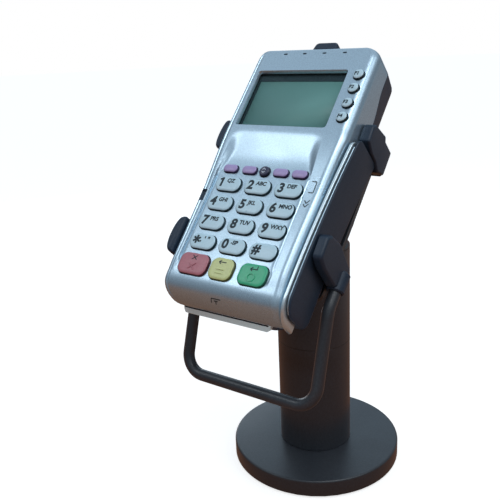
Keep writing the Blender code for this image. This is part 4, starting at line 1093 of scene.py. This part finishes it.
def add_action_legends():
    """A printed sign on each action key, and a raised one to find it by touch."""
    top = KEY_TOP - 0.1
    keys = list(zip(ACTION_COLUMNS, ACTION_SIGNS.items()))
    for x, (name, (look, printed, _)) in keys:
        sign = strokes(name, (x, ACTION_Y), top, printed, SIGN_WIDTH)
        put(f"legend_{name}", sign, "ink", f"key_{name}", f"key_{look}")
    for x, (name, (look, _, raised)) in keys:
        if raised:
            sign = strokes(name, (x, ACTION_Y), top, raised, RAISED_WIDTH, RAISED_HEIGHT)
            sign = add_bevel(add_piece(f"tactile_{name}", sign, look), 0.12, 2)
            settle(sign, f"key_{name}", f"key_{look}")
        else:
            ring = turned(name, [(radius, top + rise) for radius, rise in RAISED_RING], 40)
            ring = moved(ring, x, ACTION_Y - 1.7, 0.0)
            put(f"tactile_{name}", ring, look, f"key_{name}", f"key_{look}")


def add_small_legends():
    for number, y in enumerate(FUNCTION_ROWS, start=1):
        corner = (FUNCTION_X - 2.2, y - 1.0)
        label = lettering("f", f"F{number}", corner, 3.1, PLATEAU_Z + KEY_TOP, 0.13)
        put(f"legend_function_{number}", label, "ink", f"key_function_{number}", "key_silver")
    arrows = [((x, y), (0.0, 3 * y)) for y in (0.5, -0.5) for x in (-1.0, 1.0)]
    label = strokes("arrows", (SCROLL_X, SOFT_ROW_Y), KEY_TOP, arrows, 0.4)
    put("legend_scroll", label, "pale_ink", "key_scroll", "key_dark")
    dot = turned("dot", FINGER_DOT, 20)
    dot = moved(dot, KEY_COLUMNS[1], -KEY_ROW_PITCH - 3.0, KEY_TOP - 0.1)
    put("tactile_five", dot, "key", "key_5", "key_silver")


def add_print(name, outlines, sunk, proud, forward=0.0):
    """Ink that follows the curve of the face; forward slants its upper side to the nose."""
    meshes = []
    for outline in outlines:
        low = [(x, y, face_z(x, y) - sunk) for x, y in outline]
        high = [(x, y - forward, face_z(x, y) + proud) for x, y in outline]
        meshes.append(loft("mark", [low, high]))
    put(name, joined(name, meshes), "ink", "head", "silver_paint")


def add_face_marks():
    """Card outline and direction arrows beside the swipe track, and the card slot's sign."""
    lines = list(zip(CARD_OUTLINE, CARD_OUTLINE[1:]))
    for y in ARROW_ROWS:
        lines += [((28.1, y), (29.5, y - 1.7)), ((29.5, y - 1.7), (31.2, y + 0.4))]
    add_print("swipe_marks", [bar(*line, MARK_WIDTH) for line in lines], 0.1, 0.05)

    sign = []
    for line in CARD_SIGN:
        outline = bar(*line, SIGN_WIDTH)
        sign.append(
            [(NOSE_MARK[0] + x, NOSE_MARK[1] + y * CARD_SIGN_HEIGHT) for x, y in outline])
    add_print("card_slot_mark", sign, 0.3, 0.08, 0.05)


# ---- Display ----

def frame_ring(name, outer, outer_z, inner, inner_z, thick):
    """A sloping frame between two outlines with the same number of points."""
    top = [lifted(outer, outer_z), lifted(inner, inner_z)]
    underside = [lifted(inner, inner_z - thick), lifted(outer, outer_z - thick)]
    cage = skin_cage(top + underside + top[:1], capped=False)
    bmesh.ops.remove_doubles(cage, verts=cage.verts, dist=0.0001)
    return make_mesh(name, cage)


def add_display():
    width, height = DISPLAY_OPENING
    outer = grown_rectangle(DISPLAY_CENTRE, DISPLAY_OPENING, DISPLAY_CORNER, BEZEL_WIDTH - 0.05)
    inner = rounded_rectangle(DISPLAY_CENTRE, (width - 0.2, height - 0.2), DISPLAY_CORNER)
    bezel = frame_ring("display_bezel", outer, PLATEAU_Z - 0.05, inner, BEZEL_FOOT_Z, 0.5)
    put("display_bezel", bezel, "silver", "head", "silver_paint")
    seal = frame_ring("display_frame", outer, SEAL_Z, inner, SEAL_Z, 0.2)
    put("display_seal", seal, "rubber", "head", "rubber")

    # Painted shadow of the bezel on the display: a dark sheet round the view, wide at the top
    left, right, low, high = SHADOW_BAND_MARGINS
    middle = (DISPLAY_CENTRE[0] + (left - right) / 2, DISPLAY_CENTRE[1] + (low - high) / 2)
    view = rounded_rectangle(middle, (width - left - right, height - low - high), 0.4)
    border = rounded_rectangle(DISPLAY_CENTRE, (width + 3.0, height + 3.0), DISPLAY_CORNER)
    shadow_band = frame_ring("display_shadow_band", border, SHADOW_BAND_Z, view, SHADOW_BAND_Z, 0.16)
    put("display_shadow_band", shadow_band, "shadow_band", "head", "lcd_green")


# ---- Swipe track ----

def along_rail(name, places, section):
    """A band that follows the rail; section(y) gives its outline as (offset from rail, z)."""
    rings = []
    for y in places:
        rings.append([(rail_x(y) + offset, y, z) for offset, z in section(y)])
    return loft(name, rings)


def rail_section(y):
    """Silver rail: a thin wall with a rounded top that runs round the nose as a cheek."""
    top = RAIL_TOP_Z - corner_inset(y, RAIL_TOP_Y, RAIL_HOOK)
    top -= corner_inset(y, NOSE_Y, NOSE_ROUNDING)
    drop = PARTING_NOSE_Z - TRACK_BOTTOM_Z
    bottom = TRACK_BOTTOM_Z + drop * (1.0 - blend(y, RAIL_DROP_Y, TRACK_LOW_Y))
    inner = -RAIL_HALF + RAIL_INSET[0]
    outer = RAIL_HALF - RAIL_INSET[1] - corner_inset(y, NOSE_Y, NOSE_RIGHT_CORNER)
    rounding = min((outer - inner) / 2 - 0.02, RAIL_EDGE)
    section = [(inner, bottom)]
    section += arc((inner + rounding, top - rounding), rounding, 180, 90, 6)
    section += arc((outer - rounding, top - rounding), rounding, 90, 0, 6)
    section.append((outer, bottom))
    return section


def housing_top(y):
    return HOUSING_TOP_Z - corner_inset(y, HOUSING_NOSE_Y, HOUSING_NOSE_CORNER)


def housing_section(y):
    """Black wall outside the track, with a floor that reaches in under the rail."""
    top = housing_top(y) - corner_inset(y, HOUSING_TOP_Y, HOUSING_HOOK)
    rear = HOUSING_REAR_Z + corner_inset(y, HOUSING_NOSE_Y, HOUSING_REAR_CORNER)
    floor = min(TRACK_BOTTOM_Z - 0.5, top - 1.5)
    inner = RAIL_HALF + HOUSING_GAP
    section = [(inner, floor), (inner, top - HOUSING_CHAMFER), (inner + HOUSING_CHAMFER, top)]
    for edge, start, side, height, steps in (
            (HOUSING_FRONT_EDGE, 90, -1, top, 4), (HOUSING_REAR_EDGE, 0, 1, rear, 5)):
        middle = (HOUSING_OUTER - edge, height + side * edge)
        section += arc(middle, edge, start, start - 90, steps)
    under_rail = -RAIL_HALF - HOUSING_REACH
    return section + [(under_rail, rear), (under_rail, floor)]


def track_floor_section(_):
    low = TRACK_BOTTOM_Z - 0.2
    high = TRACK_BOTTOM_Z + 1.5
    inner = -RAIL_HALF - 2.6
    return [(inner, low), (inner, high), (-RAIL_HALF, high), (-RAIL_HALF, low)]


def add_swipe_track():
    length = TRACK_HIGH_Y - TRACK_LOW_Y
    straight = [TRACK_LOW_Y + length * i / TRACK_STEPS for i in range(TRACK_STEPS + 1)]

    def places(nose, hook):
        """The straight run with what lies beyond it of a rounded nose and a rounded end."""
        beyond = [y for y in reversed(hook) if y > TRACK_HIGH_Y]
        return [y for y in nose if y < TRACK_LOW_Y - 0.5] + straight + beyond

    rail_places = places(
        rounded_end(NOSE_Y, NOSE_ROUNDING, 14), rounded_end(RAIL_TOP_Y, RAIL_HOOK, 7))
    rail = along_rail("swipe_rail", rail_places, rail_section)
    # The rail's lighter paint is a painted highlight along its top
    put("swipe_rail_trim", rail, "rail", "head", "silver_paint", "swipe_rail")

    wall_places = places(
        rounded_end(HOUSING_NOSE_Y, HOUSING_NOSE_CORNER, 12),
        rounded_end(HOUSING_TOP_Y, HOUSING_HOOK, 6))
    wall = along_rail("side_housing", wall_places, housing_section)
    put("side_housing", wall, "black_plastic", "head", "black_plastic", "swipe_housing")

    bead = []
    for y in reversed(wall_places[4:wall_places.index(straight[-1]) + 1]):
        bead.append((rail_x(y) + RAIL_HALF + 0.5, y, housing_top(y) + 0.1))
    put("track_edge_bead", tube("bead", bead, 0.3, 4), "silver", "head", "silver_paint")
    floor = along_rail("track_floor", straight, track_floor_section)
    put("track_floor", floor, "black_plastic", "head", "black_plastic")


# ---- Rear shell ----

def rear_sides(y, wall):
    """Left side, right side and floor of the rear shell at y, drawn in by a wall."""
    low = LOWER_NOSE_Y + wall
    high = TOP_Y - wall
    inset = wall + corner_inset(y, high, TOP_CORNER) + corner_inset(y, low, NOSE_CORNER)
    beside = rail_x(y) - RAIL_HALF - REAR_GAP
    right = beside + (RIGHT_X - beside) * blend(y, RAIL_TOP_Y - 4, RAIL_TOP_Y + 2) - inset
    floor = REAR_Z + wall + NOSE_REAR_RISE * (1.0 - blend(y, LOWER_NOSE_Y, RAIL_END_Y))
    return case_left(y) + inset, right, floor + corner_inset(y, high, REAR_ROUNDING)


def rear_section(y):
    left, right, floor = rear_sides(y, 0.0)
    rim = parting_z(y) - SEAM
    rounding = min(REAR_ROUNDING, (rim - floor) / 2)
    section = [(right - 0.3, rim), (right, rim - 0.4)]
    section += arc((right - SIDE_DRAFT - rounding, floor + rounding), rounding, 0, -90, 8)
    section += arc((left + SIDE_DRAFT + rounding, floor + rounding), rounding, 270, 180, 8)
    section += [(left, rim - 0.4), (left + 0.3, rim)]
    return lifted(section, y, "y")


def rear_hollow_section(y):
    left, right, floor = rear_sides(y, SHELL_WALL)
    return hollow(y, left, right, parting_z(y) + 1.0, floor, REAR_CHAMFER)


def rear_openings():
    """One mesh with the card slot, the screw holes, the port and the vents."""
    mouth = rounded_rectangle((CARD_CENTRE_X, LOWER_NOSE_Y), (CARD_WIDTH + 0.6, 10.0), 0.3, 2)
    meshes = [prism("mouth", mouth, CARD_SLOT_Z - 0.7, PARTING_NOSE_Z + 2.0)]
    for x in SCREW_X:
        outline = arc((x, SCREW_Y), 3.4, 0.0, 360.0, 32)[:-1]
        meshes.append(prism("drill", outline, REAR_Z - 6, REAR_Z + 6))
    meshes.append(prism("port", rounded_rectangle(*PORT, 0.6, 3), REAR_Z - 5, REAR_Z + 6))
    for i in range(VENT_COUNT):
        outline = rounded_rectangle((VENT_X, VENT_Y + VENT_PITCH * i), VENT_SIZE, 0.5, 4)
        meshes.append(prism("vent", outline, REAR_Z - 5, REAR_Z + 0.9))
    return joined("rear_openings", meshes)


def add_rear_shell():
    places = stations(
        rounded_end(LOWER_NOSE_Y, NOSE_CORNER, 9), rounded_end(TOP_Y, TOP_CORNER, 9), 48)
    shell = loft("rear_shell", [rear_section(y) for y in places])
    shell = add_piece("rear_shell", shell, "black_plastic")
    inner = [y for y in places if LOWER_NOSE_Y + SHELL_WALL <= y <= TOP_Y - SHELL_WALL]
    cut(shell, loft("rear_hollow", [rear_hollow_section(y) for y in inner]))
    cut(shell, rear_openings())
    shell.data.set_sharp_from_angle(angle=math.radians(38))
    settle(shell, "head", "black_plastic", "lower_case")

    feet = [moved(turned("foot", REAR_FOOT, 32), x, y, REAR_Z + 0.15) for x, y in REAR_FEET]
    put("rear_feet", joined("rear_feet", feet), "rubber", "head", "rubber")


def add_card_lip():
    """Shelf under the card slot: a flat plate with rounded ends, a little proud of the nose."""
    left, right, back = LIP_SPAN
    rings = []
    for slope, height in LIP_LEVELS:
        front = LIP_FRONT_Y + slope
        plan = [(left, back), (left, front + 1.9), (left + 1.8, front), (right - 2.0, front),
                (right, front + 1.7), (right, back)]
        rings.append(lifted(rounded_polygon(plan, [0.5, 1.0, 1.2, 1.2, 1.0, 0.5]), height))
    # Pale colour on the lip: its light silver with a painted reflection of the sky
    put("card_shelf", loft("card_lip", rings), "pale", "head", "silver_paint", "card_lip")
    # Black strip on the lip under the nose: painted shade in the card slot's mouth
    slot_shade = prism("card_slot_shade_strip", rounded_rectangle(*LIP_SLOT_SHADE, 0.5, 4), -20.1, -19.8)
    put("card_slot_shade_strip", slot_shade, "black_plastic", "head", "black_plastic")


# ---- Cradle ----

def button_screw(radius):
    """A button-head screw with a hex socket, its head pointing down -z from zero."""
    height = radius * SCREW_HEAD
    socket = radius * SCREW_SOCKET
    angles = [math.radians(15 * i) for i in range(6)]
    rim = [(radius * math.cos(angle), -height * math.sin(angle)) for angle in angles]
    floor = -height * SOCKET_DEPTH
    hole = [(socket, -height), (socket, floor), (0.0, floor)]
    return turned("screw", [(0.0, 0.0)] + rim + hole, 48)


def add_screws(name, places, height, radius):
    """Screws with washers, heads to the rear."""
    rim = radius + 0.9
    meshes = []
    for x, y in places:
        meshes.append(moved(button_screw(radius), x, y, height))
        washer = turned("washer", [(0.0, 0.25), (rim, 0.25), (rim, -0.25), (0.0, -0.25)], 40)
        meshes.append(moved(washer, x, y, height + 0.1))
    put(name, joined(name, meshes), "steel", "head", "zinc_steel")


def add_cradle():
    outline = rounded_polygon(PLATE_CORNERS, [5.0, 5.0, 0.8, 0.8, 5.0, 5.0, 0.8, 0.8])
    plate = prism("cradle_back", outline, PLATE_REAR_Z, PLATE_FRONT_Z)
    plate = add_piece("cradle_back", plate, "coat")
    slots = []
    for x in (-PLATE_SLOT_X, PLATE_SLOT_X):
        for y, length in PLATE_SLOTS:
            size = (PLATE_SLOT_WIDTH, length)
            outline = rounded_rectangle((x, y), size, PLATE_SLOT_WIDTH / 2)
            slots.append(prism("slot", outline, PLATE_REAR_Z - 2, PLATE_FRONT_Z + 2))
    cut(plate, joined("plate_slots", slots))
    add_bevel(plate, 0.45, 2)
    settle(plate, "head", "black_powder_coat", "cradle_plate")


def clip_foot(side, outer, low, high):
    """Foot of a side clip, screwed under the cradle plate."""
    inner, outer = side * FOOT_INNER_X, side * outer
    outline = [(inner, low), (outer, low), (outer, high), (inner, high)]
    outline = rounded_polygon(outline, [3.0, 1.0, 1.0, 3.0])
    return prism("foot", outline, FOOT_BOTTOM_Z, FOOT_TOP_Z)


def scaled_about_middle(outline, inset):
    """An outline drawn in by about the same distance on every side."""
    low_a, high_a = min(a for a, _ in outline), max(a for a, _ in outline)
    low_b, high_b = min(b for _, b in outline), max(b for _, b in outline)
    middle_a, middle_b = (low_a + high_a) / 2, (low_b + high_b) / 2
    scale_a = 1.0 - 2 * inset / (high_a - low_a)
    scale_b = 1.0 - 2 * inset / (high_b - low_b)
    return [
        (middle_a + (a - middle_a) * scale_a, middle_b + (b - middle_b) * scale_b)
        for a, b in outline]


def domed(outline, back, front, rounding, along="z"):
    """A clip's wall from back to front, with its front edge rounded over."""
    rings = [lifted(outline, back, along)]
    for i in range(DOME_STEPS + 1):
        angle = math.radians(90.0 * i / DOME_STEPS)
        inset = rounding * (1.0 - math.cos(angle))
        height = front - rounding * (1.0 - math.sin(angle))
        rings.append(lifted(scaled_about_middle(outline, inset), height, along))
    return loft("wall", rings)


def lobe(inner, outer, low, high):
    """Plan of a left clip's wall: flat against the terminal and bowed on its outer side."""
    middle = (low + high) / 2
    half = (high - low) / 2
    points = []
    for i in range(LOBE_STEPS + 1):
        angle = math.pi * (i / LOBE_STEPS - 0.5)
        bow = max(math.cos(angle), 0.0) ** LOBE_FULLNESS
        points.append((inner + (outer - inner) * bow, middle + half * math.sin(angle)))
    return points + [(inner + 0.9, high - 0.4), (inner + 0.9, low + 0.4)]


def add_clip(name, node, *meshes):
    clip = add_piece(name, joined(name, meshes), "black_plastic")
    add_bevel(clip, CLIP_EDGE, 3, 50.0)
    settle(clip, "head", "black_plastic", node)


def add_clips():
    """The clips, each a rounded wall beside the terminal and a foot, and the handle's sockets."""
    for level, side, wall, foot in RIGHT_CLIPS:
        wall = domed(rounded_polygon(*side), *wall, "x")
        add_clip(f"side_clip_right_{level}", f"clip_right_{level}", wall, clip_foot(1, *foot))
    add_socket("handle_socket_right", SOCKET_X)
    for level, plan, rounding, foot in LEFT_CLIPS:
        wall = domed(lobe(*plan), WALL_FOOT_Z, WALL_TOP_Z, rounding)
        add_clip(f"side_clip_left_{level}", f"clip_left_{level}", wall, clip_foot(-1, *foot))
    add_socket("handle_socket_left", -SOCKET_X)
    tongue = domed(rounded_polygon(*TOP_TONGUE), -39.0, 0.7, 1.6)
    foot = prism("foot", rounded_rectangle(*TOP_FOOT, 2.5), FOOT_BOTTOM_Z, FOOT_TOP_Z)
    add_clip("end_clip_top", "clip_top", tongue, foot)


def add_socket(name, x):
    """Round boss of a lower clip that takes the handle's end."""
    bore = HANDLE_RADIUS + 0.25
    low, high = SOCKET_CHAMFERS
    profile = [
        (bore, 0.0), (SOCKET_RADIUS - low, 0.0), (SOCKET_RADIUS, low),
        (SOCKET_RADIUS, SOCKET_LENGTH - 1.0), (SOCKET_RADIUS - high, SOCKET_LENGTH),
        (bore, SOCKET_LENGTH)]
    mesh = turned("socket", profile, 48)
    mesh.transform(Matrix.Rotation(-math.pi / 2, 4, "X"))
    put(name, moved(mesh, x, SOCKET_Y, SOCKET_Z), "black_plastic", "head", "black_plastic")


def add_handle():
    right = [Vector((SOCKET_X, y, z)) for y, z in (
        (HANDLE_TOP_Y, SOCKET_Z), (HANDLE_KNEE_Y, SOCKET_Z), HANDLE_BAR)]
    left = [Vector((-p.x, p.y, p.z)) for p in reversed(right)]
    radii = [HANDLE_KNEE_RADIUS, HANDLE_CORNER_RADIUS]
    points = rounded_path(right + left, radii + radii[::-1], 16)
    rod = tube("bent_handle", points, HANDLE_RADIUS, 10)
    put("bent_handle", rod, "coat", "head", "black_powder_coat", "handle", smooth_angle=50.0)


# ---- Stand ----

def add_stand():
    upper, lower = BASE_EDGES
    rim = arc((BASE_RADIUS - upper, BASE_TOP - upper), upper, 90, 0, 6)
    foot = arc((BASE_RADIUS - lower, BASE_BOTTOM + lower), lower, 0, -90, 4)
    recess, ceiling = BASE_RECESS
    hole = [(recess, BASE_BOTTOM), (recess, ceiling), (SPINDLE_BORE, ceiling)]
    base = turned("base_disc", [(SPINDLE_BORE, BASE_TOP)] + rim + foot + hole, 160)
    put("base_disc", base, "coat", "base", "black_powder_coat", "base_plate",
        place=WORLD, smooth_angle=30.0)
    for name, low, high, body, node in (
            ("pole_foot", BASE_TOP + 0.3, SWIVEL_HEIGHT - 0.2, "base", "pole_lower"),
            ("pole_head", SWIVEL_HEIGHT + 0.2, POLE_TOP, "column", "pole_upper")):
        eased = POLE_RADIUS - POLE_EDGE
        profile = [
            (POLE_BORE, low), (eased, low), (POLE_RADIUS, low + POLE_EDGE),
            (POLE_RADIUS, high - POLE_EDGE), (eased, high), (POLE_BORE, high)]
        put(name, turned(name, profile, 128), "coat", body, "black_powder_coat", node, place=WORLD)


def smooth_frame_nodes():
    """Rounds the shading and eases the edges of the model's own nodes that stay in view."""
    looks = {
        "rubber": ("base_pad", "cradle_pad", "keypad_mat"),
        "steel": ("base_bolt", "tilt_bolt", "tilt_nut", "case_screw_left", "case_screw_right",
                  "coin_cell", "mag_head"),
        "acetal": ("swivel_bush",),
        "coat": ("tilt_yoke", "tilt_knuckle"),
        "friction": ("friction_washer_left", "friction_washer_right"),
        "board": ("main_board",),
        "black_plastic": ("card_connector", "data_port"),
        "glass": ("display_window",),
        "lcd": ("lcd_panel",),
        "lens": ("status_light_bar",),
    }
    eased = ("tilt_yoke", "tilt_knuckle", "tilt_bolt", "tilt_nut", "data_port", "base_pad",
             "swivel_bush")
    for name, look in {name: look for look, names in looks.items() for name in names}.items():
        node = frame["nodes"][name]
        node.data.materials.clear()
        node.data.materials.append(MATERIALS[look])
        weld = node.modifiers.new("weld", "WELD")
        weld.merge_threshold = 0.01 * MM
        if name in eased:
            add_bevel(node, 0.25, 2, 50.0)
        node.data.shade_smooth()
        node.data.set_sharp_from_angle(angle=math.radians(30))


# ---- Studio ----

def add_lamp(name, place, target, size, power, colour):
    lamp = bpy.data.lights.new(name, "AREA")
    lamp.shape = "RECTANGLE"
    lamp.size, lamp.size_y = size
    lamp.energy = power
    lamp.color = colour
    light = new_object(name, lamp)
    light.location = place
    light.visible_camera = False
    light.visible_glossy = name not in UNSEEN_IN_GLOSS
    direction = Vector(target) - light.location
    light.rotation_euler = direction.to_track_quat("-Z", "Y").to_euler()


def add_surface(name, cage, tone, glow):
    """A surface that only the camera sees, so that it throws no light back."""
    surface = add_piece(name, make_mesh(name, cage), None, WORLD)
    surface.data.materials.append(stage_material(name, tone, glow))
    surface.visible_diffuse = False
    surface.visible_glossy = False
    surface.visible_transmission = False
    return surface


def add_backdrop():
    """Pale floor and white backdrop."""
    cage = bmesh.new()
    bmesh.ops.create_grid(cage, x_segments=1, y_segments=1, size=FLOOR_REACH)
    add_surface("studio_floor", cage, 0.5, 0.78)
    cage = bmesh.new()
    bmesh.ops.create_icosphere(cage, subdivisions=4, radius=BACKDROP_RADIUS)
    add_surface("studio_backdrop", cage, 0.0, 1.0).visible_shadow = False


def add_surroundings():
    """Soft light from all round: cool from above, dim and warm from below."""
    world = bpy.data.worlds.new("studio")
    bpy.context.scene.world = world
    world.use_nodes = True
    tree = world.node_tree
    place = tree.nodes.new("ShaderNodeTexCoord").outputs["Generated"]
    parts = add_node(tree, "ShaderNodeSeparateXYZ", {"Vector": place})
    ranged = add_node(tree, "ShaderNodeMapRange", {"Value": parts.outputs["Z"], "From Min": -1.0})
    ramp = add_node(tree, "ShaderNodeValToRGB", {"Fac": ranged.outputs["Result"]})
    stops = ramp.color_ramp.elements
    stops.remove(stops[1])
    for height, colour in GLOW:
        stop = stops.new((height + 1.0) / 2)
        stop.color = (*colour, 1.0)
    stops.remove(stops[0])
    feed(tree, tree.nodes["Background"], {"Color": ramp.outputs["Color"]})


def add_camera():
    lens = bpy.data.cameras.new("camera")
    lens.lens = CAMERA_LENS
    lens.sensor_width = CAMERA_SENSOR
    lens.clip_start = CAMERA_NEAR
    camera = new_object("camera", lens)
    yaw, pitch, roll = (math.radians(angle) for angle in CAMERA_TURN)
    turn = Matrix.Rotation(yaw, 4, "Z") @ Matrix.Rotation(math.pi / 2 - pitch, 4, "X")
    turn = turn @ Matrix.Rotation(roll, 4, "Z")
    camera.matrix_world = Matrix.Translation(CAMERA_PLACE) @ turn
    bpy.context.scene.camera = camera


# ---- Build ----

smooth_frame_nodes()
add_front_shell()
add_rear_shell()
add_swipe_track()
add_display()
for key in key_table():
    add_key(*key)
add_number_legends()
add_action_legends()
add_small_legends()
add_face_marks()
add_card_lip()
add_cradle()
add_clips()
add_handle()
add_stand()
add_screws("clip_screws", CLIP_SCREWS, FOOT_BOTTOM_Z, 2.6)
add_screws("knuckle_screws", KNUCKLE_SCREWS, FOOT_BOTTOM_Z - 0.4, 2.2)
add_backdrop()
add_surroundings()
for values in LAMPS:
    add_lamp(*values)
add_camera()
bpy.context.scene.view_settings.view_transform = "Standard"

bpy.context.view_layer.update()
